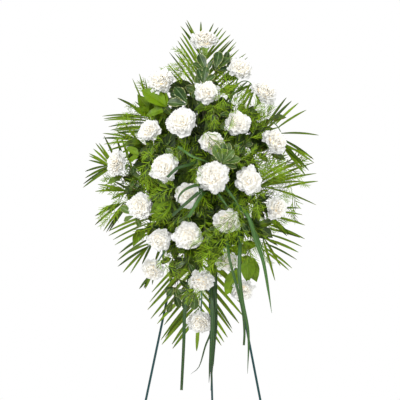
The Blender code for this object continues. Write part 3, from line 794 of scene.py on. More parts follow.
def calyx():
    """The green cup under the petals, in the bloom's units, with five pointed teeth."""
    (level, radius), *profile = CALYX_PROFILE
    put_down()
    bpy.ops.mesh.primitive_circle_add(vertices=10, radius=radius, fill_type="NGON", location=(0, 0, level))
    piece = settle(named("calyx_pattern"))
    start_edit(piece)
    bpy.ops.mesh.select_all(action="SELECT")
    for up, wide in profile:
        bpy.ops.mesh.extrude_region_move(TRANSFORM_OT_translate={"value": (0, 0, up - level)})
        bpy.ops.transform.resize(value=(wide / radius, wide / radius, 1), center_override=(0, 0, up))
        level, radius = up, wide
    bpy.ops.mesh.select_all(action="SELECT")
    bpy.ops.mesh.normals_make_consistent(inside=False)
    end_edit()
    places = places_of(piece)
    turn = np.round(np.arctan2(places[:, 1], places[:, 0]) / (math.pi / 5)).astype(int) % 2
    teeth = (np.abs(places[:, 2] - CALYX_MOUTH) < 0.001) & (turn == 0)
    places[teeth] *= (1.05, 1.05, 0.8)
    move_to(piece, places)
    piece.data.materials.append(CALYX)
    smooth(piece, 60)
    tint(piece, 0.6)
    return piece


def head_place(rings):
    """Heart, facing and diameter of a carnation's head, from its eight-sided solid."""
    widest = max(rings, key=girth)
    facing = (middle(rings[-1]) - middle(rings[-HEAD_RINGS])).normalized()
    diameter = 2 * girth(widest) * math.cos(math.pi / 8)
    return middle(widest) - facing * (0.08 * diameter), facing, diameter


def flower_heads():
    """Across, up and radius of every bloom."""
    heads = []
    for number in range(1, CARNATIONS + 1):
        heart, _, diameter = head_place(rings_along(f"carnation_{number:02d}"))
        heads.append((heart.x, heart.z - HEART.z, diameter / 2))
    return heads


def room_behind(heads, place):
    """How far below the dome greenery has to stay there, to leave the blooms clear."""
    for across, up, radius in heads:
        if (place - Vector((across, up))).length < radius + BLOOM_MARGIN:
            return BELOW_BLOOM
    return 0.0


def carnations():
    petals = [petal(f"petal_pattern_{i}", *shape) for i, shape in enumerate(PETAL_RUFFLES)]
    blooms = [bloom(number, petals) for number in range(5)]
    cup = calyx()
    rnd = random.Random(SEEDS["carnations"])
    for number in range(1, CARNATIONS + 1):
        solid = f"carnation_{number:02d}"
        rings = rings_along(solid)
        heart, facing, diameter = head_place(rings)
        place = facing.to_track_quat("Z", "Y").to_matrix().to_4x4()
        place.translation = heart
        place = place @ Matrix.Rotation(rnd.uniform(0, 2 * math.pi), 4, "Z")
        place = place @ Matrix.Diagonal((diameter, diameter, diameter * rnd.uniform(0.92, 1.05), 1))
        head = copy_of(blooms[number % len(blooms)], place, rnd.uniform(0.3, 0.7))
        cup_on = copy_of(cup, place, rnd.uniform(0.3, 0.9))
        centres = curve_through([middle(ring) for ring in rings[:-HEAD_RINGS]], 3)
        stalk = stem("stalk", centres, 0.0021, 0.0019, FLOWER_STEM)
        finished(join(f"white_carnation_{number:02d}", [head, cup_on, stalk]), "stand", "white_petals", solid)
    shelve(*petals, *blooms, cup)


# ---------------------------------------------------------------- palm

# Widths along a leaflet.
LEAFLET = [(0, 0.0020), (0.10, 0.0040), (0.35, 0.0061), (0.62, 0.0058), (0.85, 0.0037), (1, 0.0005)]


def leaflet():
    """A narrow leaflet one metre long before it is scaled, folded along its midrib."""
    piece = sheet("leaflet_pattern", 2, 8, 1, LEAFLET, PALM)
    crease(piece, 0.0015, 0.0001)
    return thicken(piece, 0.0005, 25)


def frond(name, pattern, path, width, leaflets, rnd):
    """A rachis with its leaflets, whose ends hang a little."""
    parts = [stem("rachis", path, 0.0021, 0.0009, PALM_RIB)]
    for share, angle, size in leaflets:
        length = size / 1000
        base, along = point_along(path, length_of(path) * min(share, 0.999))
        turn = math.radians(angle)
        way = ACROSS * math.cos(turn) + UPWARD * math.sin(turn) + FRONT * rnd.uniform(-0.12, 0.04)
        hang = Vector((0, 0, -length * (0.02 + 0.12 * abs(math.cos(turn)))))
        points = [base + (way * length - hang) * t + hang * t**2 for t in FIFTHS]
        face = FRONT + UPWARD * rnd.uniform(-0.1, 0.4) + along * rnd.uniform(-0.3, 0.3)
        part = copy_of(pattern, Matrix.Diagonal((width * rnd.uniform(0.85, 1.15), length, 1, 1)), rnd.uniform(0.1, 0.9))
        lay_along(part, points, face, length)
        parts.append(part)
    return join(name, parts)


def palm_fronds():
    pattern = leaflet()
    rnd = random.Random(SEEDS["palm"])
    for number, (extra, width, leaflets) in enumerate(FRONDS, 1):
        solid = f"palm_frond_{number:02d}"
        foot, tip = straight_stem(solid)
        end = tip + (tip - foot).normalized() * (extra / 1000)
        path = [foot.lerp(end, t) for t in QUARTERS]
        finished(frond(f"palm_leaf_{number:02d}", pattern, path, width, leaflets, rnd), "stand", "palm_green", solid)
    for number, (points, leaflets) in enumerate(SPARE_FRONDS, len(FRONDS) + 1):
        path = curve_through([spot_in_mm(*point) for point in points], 5)
        finished(frond(f"palm_leaf_{number:02d}", pattern, path, 1.0, leaflets, rnd), "stand", "palm_green")
    shelve(pattern)


# Of each frond: how far its rachis goes on past the solid's last joint, how wide its leaflets are, and the leaflets,
# each as the share of the rachis where it sits, the way it points (degrees from straight across, as seen from the
# front) and its length. Lengths are in millimetres.
FRONDS = [
    (41, 1.0, [(0.97, 116, 88), (0.95, 118, 92), (0.93, 126, 96), (0.9, 123, 89), (0.82, 121, 104), (0.77, 122, 112),
     (0.7, 122, 125), (0.67, 125, 122), (0.53, 126, 151), (0.45, 129, 151), (0.43, 131, 148), (0.38, 133, 125),
     (0.92, 59, 87), (0.88, 56, 101), (0.84, 54, 110), (0.83, 46, 110), (0.76, 50, 114), (0.72, 50, 131),
     (0.65, 52, 146), (0.61, 48, 144), (0.58, 42, 154), (0.53, 43, 162), (0.48, 43, 166), (0.43, 42, 125),
     (1, 91, 67), (0.62, 128, 120), (0.57, 121, 128), (0.8, 118, 100), (0.69, 46, 126), (0.55, 55, 135),
     (0.96, 66, 80), (0.86, 66, 90)]),
    (20, 1.0, [(1, 112, 99), (0.95, 104, 94), (0.92, 100, 88), (0.84, 95, 83), (0.88, 140, 83)]),
    (20, 1.0, [(1, 168, 90), (0.94, 183, 94), (0.97, 175, 92), (0.88, 152, 80), (0.9, 192, 90), (0.82, 196, 86),
     (0.76, 201, 80), (0.96, 128, 60)]),
    (36, 1.0, [(0.7, 110, 92), (0.78, 108, 92), (0.86, 116, 96), (0.91, 124, 78), (0.93, 127, 80), (0.95, 136, 69),
     (0.975, 148, 64), (0.98, 153, 59), (1, 163, 52), (1, 195, 60), (0.97, 205, 72), (0.95, 212, 87),
     (0.93, 215, 96)]),
    (40, 1.0, [(0.965, 205, 79), (0.98, 219, 89), (0.94, 235, 92), (0.91, 236, 94), (0.86, 236, 96), (1, 196, 52)]),
    (5, 1.0, [(1, 226, 90), (0.98, 214, 94), (0.95, 237, 88), (0.91, 203, 80), (0.86, 245, 70)]),
    (56, 1.35, [(0.3, 225, 182), (0.33, 227, 198), (0.38, 227, 170), (0.43, 224, 194), (0.48, 228, 194),
     (0.56, 227, 158), (0.64, 225, 156), (0.66, 229, 142), (0.73, 232, 160), (0.77, 231, 139), (0.83, 228, 145),
     (0.88, 233, 116), (0.95, 231, 107), (0.34, -40, 135), (0.42, -42, 146), (0.3, -36, 120), (0.38, -44, 140),
     (0.48, -45, 150), (0.54, -47, 163), (0.6, -50, 156), (0.65, -55, 145), (0.72, -52, 137), (0.79, -54, 124),
     (0.86, -55, 113), (0.92, -55, 102), (1, 267, 75)]),
    (0, 1.0, [(1, -60, 78), (0.95, -74, 116), (0.9, -30, 52)]),
    (0, 1.0, [(0.55, 27, 170), (0.64, 24, 158), (0.7, 14, 144), (0.76, -20, 136), (1, 11, 94), (0.5, 32, 140),
     (0.58, 31, 124), (0.66, 19, 112), (0.68, 8, 112)]),
    (0, 1.0, [(1, 41, 62), (0.95, 60, 62), (0.93, 20, 52), (0.88, 65, 52)]),
]
# Fronds that have no solid: the points of the rachis as across, up and ahead in millimetres, then the leaflets.
SPARE_FRONDS = [
    ([(-30, 12, 50), (-100, 95, 90), (-130, 135, 85), (-155, 180, 70)], [(1, 149, 85), (0.957, 179, 115),
     (0.934, 181, 113), (0.891, 179, 115), (0.858, 184, 108), (0.796, 183, 108), (0.763, 182, 103), (0.72, 180, 98),
     (0.7, 113, 160), (0.67, 106, 168), (0.64, 103, 158)]),
    ([(10, 2, 50), (109, 97, 100), (168, 151, 100), (196, 136, 90), (209, 85, 85)], [(0.7, 55, 86), (0.724, 46, 81),
     (0.775, 43, 81), (0.81, 33, 86), (0.865, -2, 97), (0.915, -33, 95), (0.95, -33, 93), (0.975, -22, 78),
     (0.99, -46, 73), (1, -41, 77), (0.94, -50, 72), (0.965, -46, 92), (1, -52, 88)]),
    ([(16, 28, 50), (55, 174, 100), (87, 248, 110), (113, 260, 115), (136, 240, 115)], [(1, -80, 31),
     (0.975, 240, 78), (0.985, 250, 70), (0.9, 225, 74), (0.97, 226, 58), (0.93, 246, 48), (0.95, 205, 56),
     (0.84, 218, 51), (0.99, 231, 37), (0.8, 190, 37), (0.76, 235, 52)]),
    ([(16, -10, 50), (121, -52, 80), (160, -75, 85), (162, -120, 80), (149, -174, 75)], [(0.6, 4, 93), (0.62, -4, 94),
     (0.66, -14, 101), (0.74, -21, 104), (0.78, -15, 89), (0.83, -20, 99), (0.88, -22, 94), (0.92, -27, 96),
     (0.955, -36, 94), (0.98, -38, 89), (0.68, -42, 69), (0.645, -44, 78), (0.63, -42, 85)]),
    ([(-30, -4, 50), (-155, -20, 90), (-203, -22, 85)], [(0.96, 167, 78), (0.98, 175, 52), (1, 180, 76),
     (0.9, 150, 52), (0.92, 205, 52)]),
    ([(-20, -30, 50), (-110, -57, 90), (-131, -85, 85), (-138, -134, 80), (-141, -165, 75)], [(0.62, 201, 120),
     (0.66, 203, 119), (0.72, 204, 106), (0.78, 206, 100), (0.84, 214, 94), (0.91, 214, 97)]),
    ([(-15, -45, 50), (-95, -140, 80), (-128, -232, 70)], [(1, 231, 53), (0.98, 241, 49), (0.96, 247, 54),
     (0.9, 262, 52), (0.86, 275, 47), (0.5, 255, 70), (0.56, 262, 62), (0.62, 270, 55), (0.46, 240, 75),
     (0.66, 250, 50)]),
]


# ---------------------------------------------------------------- salal and pittosporum

# Of each kind of leaf: its length, its widths from foot to tip, and its patterns, each as how far it is folded, how
# deep its edges wave, how many waves they have and where these start.
SALAL_LENGTH = 0.068
SALAL_OUTLINE = [
    (0, 0.0012), (0.07, 0.009), (0.22, 0.0265), (0.40, 0.0345), (0.58, 0.0320), (0.76, 0.0215), (0.90, 0.0090),
    (1, 0.0008),
]
SALAL_BENDS = [(0.26, 0.0026, 2.2, 0.4), (0.46, 0.0030, 2.7, 1.9), (0.16, 0.0034, 1.9, 3.3), (0.60, 0.0022, 2.4, 5.0)]
PITTOSPORUM_LENGTH = 0.042
PITTOSPORUM_OUTLINE = [
    (0, 0.0012), (0.12, 0.0052), (0.36, 0.0155), (0.60, 0.0214), (0.80, 0.0190), (0.93, 0.0106), (1, 0.0020),
]
PITTOSPORUM_BENDS = [(0.20, 0.0014, 2.4, 0.5), (0.35, 0.0018, 3.0, 2.2), (0.10, 0.0020, 2.1, 4.0)]


def broad_leaves(name, outline, length, columns, rows, finish, bends):
    """Leaves of one kind, each folded and waved a little differently."""
    made = []
    for i, (fold, wave, waves, phase) in enumerate(bends):
        piece = sheet(f"{name}_{i}", columns, rows, length, outline, finish)
        dish(piece, fold, wave, waves, phase)
        made.append(thicken(piece, 0.0005, 40))
    return made


def hang_leaf(patterns, length, base, tip, face, droop, tone, rnd):
    """A leaf from its base to its tip, facing this way and bowed."""
    pattern = rnd.choice(patterns)
    reach = (tip - base).length
    scale = reach / length
    part = copy_of(pattern, Matrix.Diagonal((scale * rnd.uniform(0.92, 1.06), scale, scale, 1)), tone)
    face = face.normalized()
    bow = face * (reach * droop)
    path = [base.lerp(tip, t) + bow * (4 * t * (1 - t)) for t in FIFTHS]
    lay_along(part, path, face, reach)
    return part


def foot_in_foam(across, up, scale=0.14):
    """Where a stem that grows towards this place leaves the foam."""
    return spot(across * scale, up * scale, STEM_EXIT)


def leafy_pieces():
    salal = broad_leaves("salal_pattern", SALAL_OUTLINE, SALAL_LENGTH, 6, 9, SALAL_LEAF, SALAL_BENDS)
    pittosporum = broad_leaves(
        "pittosporum_pattern", PITTOSPORUM_OUTLINE, PITTOSPORUM_LENGTH, 4, 8, PITTOSPORUM_LEAF, PITTOSPORUM_BENDS
    )
    rnd = random.Random(SEEDS["leaves"])
    for kind, patterns, length, branches, twig, solids, slot in (
        ("salal", salal, SALAL_LENGTH, SALAL_LEAVES, SALAL_TWIG, "salal_stem", "salal_green"),
        ("variegated_pittosporum", pittosporum, PITTOSPORUM_LENGTH, PITTOSPORUM_LEAVES, PITTOSPORUM_TWIG,
         "pittosporum", "pittosporum_green"),
    ):
        for number, (tones, spots) in enumerate(branches, 1):
            solid = f"{solids}_{number:02d}"
            foot, tip = straight_stem(solid)
            piece = branch(f"{kind}_{number:02d}", patterns, length, foot, tip, spots, twig, tones, rnd)
            finished(piece, "stand", slot, solid)
    hand_placed("salal", salal, SALAL_LENGTH, SALAL_SPRIGS, SALAL_TWIG, "salal_green", rnd)
    hand_placed("variegated_pittosporum", pittosporum, PITTOSPORUM_LENGTH, PITTOSPORUM_SPRIGS, PITTOSPORUM_TWIG,
                "pittosporum_green", rnd)
    backing(salal, random.Random(SEEDS["backing"]))
    filling(pittosporum, random.Random(SEEDS["filling"]))
    shelve(*salal, *pittosporum)


# Where the palm on the right fans out with nothing before it: its middle, as across and up, and its radius.
PALM_OPENING = Vector((0.180, 0.006))
OPENING_RADIUS = 0.048
# Of each layer of backing leaves: how many, half its width, its height up and down, and how far below the dome its
# leaves lie, at least and at most.
BACKING_BANDS = [(84, 0.180, 0.280, 0.240, 0.055, 0.105), (80, 0.190, 0.300, 0.255, 0.120, 0.170)]


def in_opening(place):
    return (place - PALM_OPENING).length < OPENING_RADIUS


def hidden_twig(place, joint, tip_radius, finish):
    """The course of a thin twig from the foam to a joint deep between the flowers, and the twig."""
    foot = foot_in_foam(*place, 0.2)
    run = curve_through([foot, foot.lerp(joint, 0.5) + FRONT * 0.006, joint], 4)
    return run, stem("twig", run, 0.0011, tip_radius, finish)


def in_three(name, slot, sprigs):
    """Join every third sprig, so that three pieces hold them all."""
    for number in range(3):
        parts = [part for sprig in sprigs[number::3] for part in sprig]
        finished(join(f"{name}_{number + 1:02d}", parts), "stand", slot)


def backing(patterns, rnd):
    """Leaves deep between the flowers, so that no daylight shows through the middle. Their dark tones are painted
    shade.
    """
    sprigs = []
    places = [(*place, least, most) for *spread, least, most in BACKING_BANDS for place in fern_spread(*spread)]
    for across, up, reach, least, most in places:
        place = Vector((across, up)) * reach
        if in_opening(place):
            continue
        base = spot(*place, max(rnd.uniform(0.045, 0.060), dome_ahead(*place) - rnd.uniform(least, most)))
        way = ACROSS * (rnd.uniform(-1, 1) - 5 * across * reach) + UPWARD * (rnd.uniform(-1, 1) - 4 * up * reach)
        way += FRONT * rnd.uniform(0, 0.3)
        tip = base + way.normalized() * rnd.uniform(0.070, 0.092)
        face = FRONT + ACROSS * rnd.uniform(-0.3, 0.3) + UPWARD * rnd.uniform(-0.3, 0.3)
        # Painted shade: these leaves get the darkest tones.
        leaf = hang_leaf(patterns, SALAL_LENGTH, base, tip, face, 0.05, rnd.uniform(0.0, 0.30), rnd)
        _, twig = hidden_twig(place, base, 0.0008, SALAL_TWIG)
        sprigs.append([leaf, twig])
    in_three("backing_leaves", "salal_green", sprigs)


def filling(patterns, rnd):
    """Small sprigs of pittosporum between the flowers, a little below the dome."""
    heads = flower_heads()
    sprigs = []
    for across, up, reach in fern_spread(26, 0.225, 0.300, 0.265):
        place = Vector((across, up)) * reach
        if in_opening(place):
            continue
        below = max(rnd.uniform(0.024, 0.060), room_behind(heads, place))
        joint = spot(*place, max(0.050, dome_ahead(*place) - below))
        run, twig = hidden_twig(place, joint, 0.0007, PITTOSPORUM_TWIG)
        parts = [twig]
        first = rnd.uniform(0, 2 * math.pi)
        for i in range(5):
            turn = first + i * 2.4 + rnd.uniform(-0.4, 0.4)
            way = ACROSS * math.cos(turn) + UPWARD * math.sin(turn) + FRONT * rnd.uniform(0.1, 0.9)
            way.normalize()
            base = joint - (run[-1] - run[-2]).normalized() * (0.005 * i)
            face = FRONT - way * way.dot(FRONT) + Vector((rnd.uniform(-0.3, 0.3), 0, rnd.uniform(-0.1, 0.4)))
            tone = rnd.uniform(0.05, 0.60)
            tip = base + way * rnd.uniform(0.024, 0.040)
            parts.append(hang_leaf(patterns, PITTOSPORUM_LENGTH, base, tip, face, 0.06, tone, rnd))
        sprigs.append(parts)
    in_three("pittosporum_filling", "pittosporum_green", sprigs)


def branch(name, patterns, length, foot, tip, spots, twig, tones, rnd):
    """A straight branch with leaves at these shares of it, on this side, at this angle and of this size."""
    along = (tip - foot).normalized()
    aside = along.cross(FRONT).normalized()
    out = aside.cross(along)
    parts = [stem("twig", [foot.lerp(tip, t) for t in (0, 0.3, 0.6, 0.8, 1)], 0.0013, 0.0008, twig)]
    for share, side, angle, size in spots:
        base = foot.lerp(tip, share)
        turn = math.radians(angle + rnd.uniform(-5, 5))
        lift = rnd.uniform(0.0, 0.35)
        way = (along * math.cos(turn) + aside * (side * math.sin(turn)) + out * lift).normalized()
        face = out + aside * (side * rnd.uniform(-0.5, 0.2)) + along * rnd.uniform(-0.4, 0.1)
        end = base + way * (size / 1000 * rnd.uniform(0.85, 1.05))
        parts.append(hang_leaf(patterns, length, base, end, face, rnd.uniform(0.02, 0.09), rnd.uniform(*tones), rnd))
    return join(name, parts)


def hand_placed(name, patterns, length, sprigs, twig, slot, rnd):
    """Sprigs whose leaves are placed one by one: a shared joint, then the tip and tone of each leaf."""
    for number, (joint, leaves) in enumerate(sprigs, 1):
        joint = spot_in_mm(*joint)
        foot = foot_in_foam(joint.x, joint.z - HEART.z)
        rise = foot.lerp(joint, 0.55) + FRONT * 0.02
        parts = [stem("twig", curve_through([foot, rise, joint], 5), 0.0014, 0.0009, twig)]
        for *tip, tone in leaves:
            tip = spot_in_mm(*tip)
            way = (tip - joint).normalized()
            base = joint + way * 0.003
            face = FRONT + UPWARD * 0.35 + Vector((rnd.uniform(-0.35, 0.35), 0, rnd.uniform(-0.2, 0.3)))
            face = face - way * face.dot(way)
            parts.append(hang_leaf(patterns, length, base, tip, face, rnd.uniform(0.03, 0.08), tone, rnd))
        finished(join(f"{name}_sprig_{number:02d}", parts), "stand", slot)


# Of each salal branch: the range of its leaves' tones, and the leaves: share of the branch, side (1 is clockwise as
# seen from the front), angle to the branch, and size in millimetres.
SALAL_LEAVES = [
    ((0.6, 0.9), [(0.72, 1, 65, 64), (0.72, -1, 65, 64), (0.84, 1, 52, 60), (0.95, -1, 30, 64), (0.95, 1, 35, 58),
     (1, 0, 4, 62)]),
    ((0.1, 0.45), [(0.7, 1, 60, 60), (0.72, -1, 60, 64), (0.84, -1, 50, 64), (0.95, -1, 62, 60), (1, -1, 40, 52)]),
    ((0.35, 0.65), [(0.72, 1, 50, 58), (0.74, -1, 60, 60), (0.86, -1, 45, 56), (0.98, -1, 18, 60)]),
    ((0.3, 0.8), [(0.7, 1, 60, 60), (0.72, -1, 62, 58), (0.84, 1, 45, 56), (0.9, 1, 6, 60), (0.97, 1, 22, 44)]),
]
# The same of each pittosporum branch.
PITTOSPORUM_LEAVES = [
    ((0.15, 0.55), [(0.72, 1, 70, 44), (0.76, -1, 65, 44), (0.84, 1, 60, 44), (0.88, -1, 50, 44), (0.94, 1, 40, 46),
     (0.97, -1, 30, 40), (1, 0, 5, 34)]),
    ((0.15, 0.55), [(0.72, 1, 65, 36), (0.78, -1, 60, 36), (0.86, 1, 60, 38), (0.92, -1, 40, 38), (1, 1, 8, 30)]),
]
# Sprigs whose leaves are placed one by one: the joint as across, up and ahead in millimetres; then each leaf's tip,
# measured in the same way, and its tone. The low tones of salal leaves that lie deep are painted shade.
SALAL_SPRIGS = [
    ((-88, 190, 150), [(-158, 238, 125, 0.92), (-104, 236, 135, 0.78), (-142, 171, 142, 0.72)]),
    ((-157, 68, 155), [(-193, 90, 135, 0.7), (-185, 50, 140, 0.82), (-137, 92, 150, 0.12), (-118, 52, 160, 0.1)]),
    ((-68, -42, 208), [(-124, -78, 198, 0.45), (-108, -104, 200, 0.62), (-80, -100, 205, 0.3),
     (-128, -40, 195, 0.18)]),
    ((94, -214, 145), [(62, -284, 140, 0.72)]),
    ((118, -180, 150), [(117, -252, 135, 0.8), (140, -250, 130, 0.62), (90, -160, 165, 0.55)]),
    ((140, -110, 150), [(180, -140, 135, 0.15), (182, -100, 140, 0.3)]),
    ((-24, -182, 165), [(-20, -238, 150, 0.2), (-55, -225, 150, 0.3), (5, -225, 150, 0.25)]),
    ((-200, 16, 120), [(-244, -2, 100, 0.55)]),
    ((172, 72, 140), [(212, 58, 125, 0.2)]),
    ((34, 192, 172), [(84, 194, 165, 0.18), (-18, 182, 178, 0.45)]),
    ((106, 182, 155), [(148, 168, 145, 0.15)]),
    ((172, 156, 135), [(214, 165, 125, 0.2)]),
    ((120, 120, 140), [(108, 178, 140, 0.15), (156, 152, 130, 0.2), (166, 100, 135, 0.1), (134, 66, 150, 0.15),
     (180, 128, 128, 0.25)]),
    ((40, 176, 150), [(-4, 192, 150, 0.2), (82, 190, 145, 0.2), (36, 218, 145, 0.25)]),
    ((-75, 170, 150), [(-52, 210, 145, 0.15), (-104, 198, 145, 0.25), (-50, 140, 155, 0.1)]),
    ((-140, 46, 140), [(-180, 36, 130, 0.25), (-150, 4, 140, 0.15), (-108, 20, 150, 0.1)]),
    ((132, -52, 145), [(172, -36, 135, 0.15), (174, -78, 130, 0.1), (140, -100, 140, 0.15)]),
    ((40, -150, 155), [(58, -118, 170, 0.2), (78, -168, 160, 0.2), (40, -194, 150, 0.15)]),
    ((122, -86, 150), [(105, -56, 160, 0.15), (154, -86, 140, 0.2), (118, -142, 145, 0.1), (152, -122, 140, 0.15),
     (92, -126, 155, 0.15)]),
    ((136, 74, 140), [(172, 98, 128, 0.15), (168, 52, 130, 0.15), (150, 118, 135, 0.1)]),
    ((-150, 0, 135), [(-186, 22, 125, 0.25), (-190, -22, 120, 0.15), (-158, -48, 130, 0.15)]),
    ((-166, -5, 120), [(-206, 14, 110, 0.2), (-202, -30, 110, 0.15), (-180, -52, 115, 0.2), (-186, 40, 115, 0.25)]),
    ((92, 92, 160), [(132, 122, 146, 0.2), (104, 140, 150, 0.15), (134, 96, 150, 0.25)]),
    ((128, -66, 140), [(160, -90, 130, 0.2), (146, -106, 132, 0.1)]),
    ((106, 150, 140), [(72, 184, 132, 0.25), (98, 202, 126, 0.35), (130, 196, 124, 0.2), (152, 168, 126, 0.3)]),
    ((142, 128, 134), [(168, 162, 122, 0.3), (118, 168, 130, 0.15), (180, 138, 120, 0.25), (106, 140, 136, 0.15)]),
    ((-62, -142, 140), [(-98, -156, 132, 0.2), (-86, -182, 130, 0.12), (-66, -196, 132, 0.25)]),
    ((-110, -98, 150), [(-142, -128, 140, 0.2), (-136, -92, 140, 0.15)]),
    ((-70, -190, 150), [(-104, -206, 140, 0.2), (-70, -236, 140, 0.15), (-34, -206, 150, 0.2)]),
]
PITTOSPORUM_SPRIGS = [
    ((30, 288, 105), [(40, 340, 94, 0.35), (68, 324, 90, 0.5), (71, 292, 100, 0.1)]),
    ((8, 284, 112), [(-12, 333, 104, 0.25), (-28, 308, 110, 0.2), (22, 312, 118, 0.4)]),
    ((56, 44, 238), [(37, 90, 262, 0.5), (59, 96, 254, 0.35), (86, 78, 246, 0.6), (102, 56, 236, 0.55),
     (92, 34, 230, 0.25), (30, 62, 238, 0.3), (74, 96, 240, 0.45)]),
    ((-62, 52, 212), [(-84, 84, 208, 0.5), (-40, 78, 218, 0.4), (-88, 52, 210, 0.35)]),
    ((40, 168, 178), [(74, 170, 175, 0.2)]),
    ((-28, -84, 222), [(-52, -100, 222, 0.4), (-10, -74, 226, 0.5)]),
    ((12, -124, 206), [(42, -116, 206, 0.45), (24, -152, 200, 0.3)]),
    ((-30, -272, 122), [(-70, -284, 115, 0.35), (-40, -322, 110, 0.3)]),
    ((-30, -198, 168), [(-62, -212, 162, 0.25), (-15, -228, 160, 0.35)]),
    ((-166, -84, 150), [(-204, -62, 140, 0.8), (-152, -114, 158, 0.7), (-196, -98, 140, 0.75)]),
    ((-34, 196, 168), [(-70, 243, 150, 0.2), (-87, 202, 160, 0.25)]),
    ((-14, -272, 130), [(-34, -312, 122, 0.3), (-18, -322, 114, 0.4)]),
    ((-66, -262, 124), [(-86, -288, 116, 0.35), (-52, -292, 120, 0.45)]),
    ((2, 250, 135), [(10, 298, 128, 0.3), (32, 274, 138, 0.5), (-12, 292, 128, 0.25)]),
    ((-48, 206, 150), [(-82, 228, 142, 0.1), (-88, 210, 140, 0.2), (-56, 236, 142, 0.15)]),
]


# ---------------------------------------------------------------- lily grass

# Widths from foot to tip, as shares of the full width.
TAPERED = [(0, 0.45), (0.06, 0.70), (0.30, 1.0), (0.60, 1.0), (0.85, 0.62), (1, 0.06)]
CUT_OFF = [(0, 0.45), (0.06, 0.70), (0.30, 1.0), (0.60, 1.0), (0.90, 0.86), (1, 0.80)]


def blade(name, points, width, pattern, tone):
    """A long blade through the points, with its ribs along it."""
    length = length_of(points)
    part = copy_of(pattern, Matrix.Diagonal((width, length, width, 1)), tone)
    lay_along(part, points, FRONT, length)
    return join(name, [part])


def grass():
    patterns = []
    for name, outline in (("blade_pattern", TAPERED), ("cut_blade_pattern", CUT_OFF)):
        piece = sheet(name, 4, 40, 1, outline, GRASS)
        dish(piece, 0.30)
        patterns.append(thicken(piece, 0.07, 40))
    for number, (width, tone, blunt) in enumerate(BLADES, 1):
        solid = f"lily_grass_{number:02d}"
        points = curve_through([middle(ring) for ring in rings_along(solid)], 2)
        piece = blade(f"grass_blade_{number:02d}", points, width, patterns[blunt], tone)
        finished(piece, "stand", "lily_grass_green", solid)
    for number, (width, tone, blunt, points) in enumerate(SPARE_BLADES, len(BLADES) + 1):
        points = curve_through([spot_in_mm(*point) for point in points], 6)
        piece = blade(f"grass_blade_{number:02d}", points, width, patterns[blunt], tone)
        finished(piece, "stand", "lily_grass_green")
    shelve(*patterns)


# Of each blade with a solid: its width, its tone and whether its tip is cut off square.
BLADES = [(0.0104, 0.70, False), (0.0090, 0.45, False), (0.0096, 0.20, False), (0.0084, 0.25, True)]
# The same of each blade without one, and its points as across, up and ahead in millimetres.
SPARE_BLADES = [
    (0.0062, 0.3, False, [(12, -110, 80), (30, -280, 118), (28, -365, 120), (12, -410, 114), (-4, -462, 105),
     (-26, -482, 95)]),
    (0.0058, 0.35, False, [(14, -110, 80), (36, -270, 130), (40, -352, 124), (36, -400, 115), (32, -462, 100)]),
    (0.0086, 0.35, True, [(4, 30, 100), (2, 56, 190), (-22, 42, 250), (-50, 32, 286), (-74, 10, 284)]),
    (0.008, 0.4, False, [(16, -6, 120), (16, -8, 190), (3, -9, 234), (-10, -10, 256), (-32, -20, 272),
     (-46, -36, 270), (-52, -58, 252)]),
    (0.0084, 0.3, True, [(20, -8, 120), (20, -12, 190), (8, -21, 234), (-4, -31, 256), (-27, -52, 272),
     (-63, -83, 255)]),
    (0.009, 0.75, True, [(22, -14, 120), (21, -20, 190), (9, -30, 234), (0, -45, 254), (-8, -60, 262),
     (-24, -87, 252)]),
    (0.0074, 0.95, False, [(-30, 40, 120), (-56, 84, 215), (-40, 78, 236), (-16, 62, 250), (24, 48, 240)]),
    (0.0074, 0.6, False, [(14, -8, 120), (30, -14, 180), (45, -28, 222), (64, -52, 246), (78, -69, 240)]),
    (0.0074, 0.55, False, [(30, -4, 120), (48, -2, 180), (65, -15, 222), (88, -43, 242), (100, -62, 236)]),
    (0.0066, 0.4, True, [(40, -60, 120), (66, -133, 200), (77, -189, 245), (94, -253, 235), (108, -315, 215),
     (112, -366, 190), (110, -402, 170)]),
    (0.0092, 0.3, False, [(24, -225, 120), (29, -300, 142), (30, -360, 144), (27, -420, 138), (22, -500, 125)]),
    (0.007, 0.9, False, [(60, -60, 130), (112, -75, 212), (134, -118, 222), (150, -150, 215), (162, -185, 200)]),
]


# ---------------------------------------------------------------- tree fern

# The length of a full plume, and how much of it lies beyond the place where it leaves the bed.
PLUME_LENGTH = 0.150
PLUME_RUN = 0.118
# Of each pattern plume: how many side shoots it has, and the angle of the widest. The fourth is thin and the last airy.
PLUMES = [(9, 54), (9, 54), (9, 54), (5, 46), (7, 44)]
# Half the width of the spread of fern, and its height up and down.
FERN_REACH = (0.265, 0.370, 0.335)
# Of each layer of fern: how many plumes, the share of the spread they cover, and how far below the dome they lie, at
# least and at most.
FERN_LAYERS = [(34, 1.0, 0.000, 0.024), (14, 0.80, 0.035, 0.070)]


def needle():
    """A thin pointed needle along +Y, one unit long and one wide."""
    put_down()
    bpy.ops.mesh.primitive_cone_add(vertices=3, radius1=0.5, radius2=0.2, depth=1, location=(0, 0.5, 0),
                                    rotation=(-math.pi / 2, 0, 0))
    piece = settle(named("needle_pattern"))
    piece.data.materials.append(FERN)
    tint(piece, 0.5)
    return piece


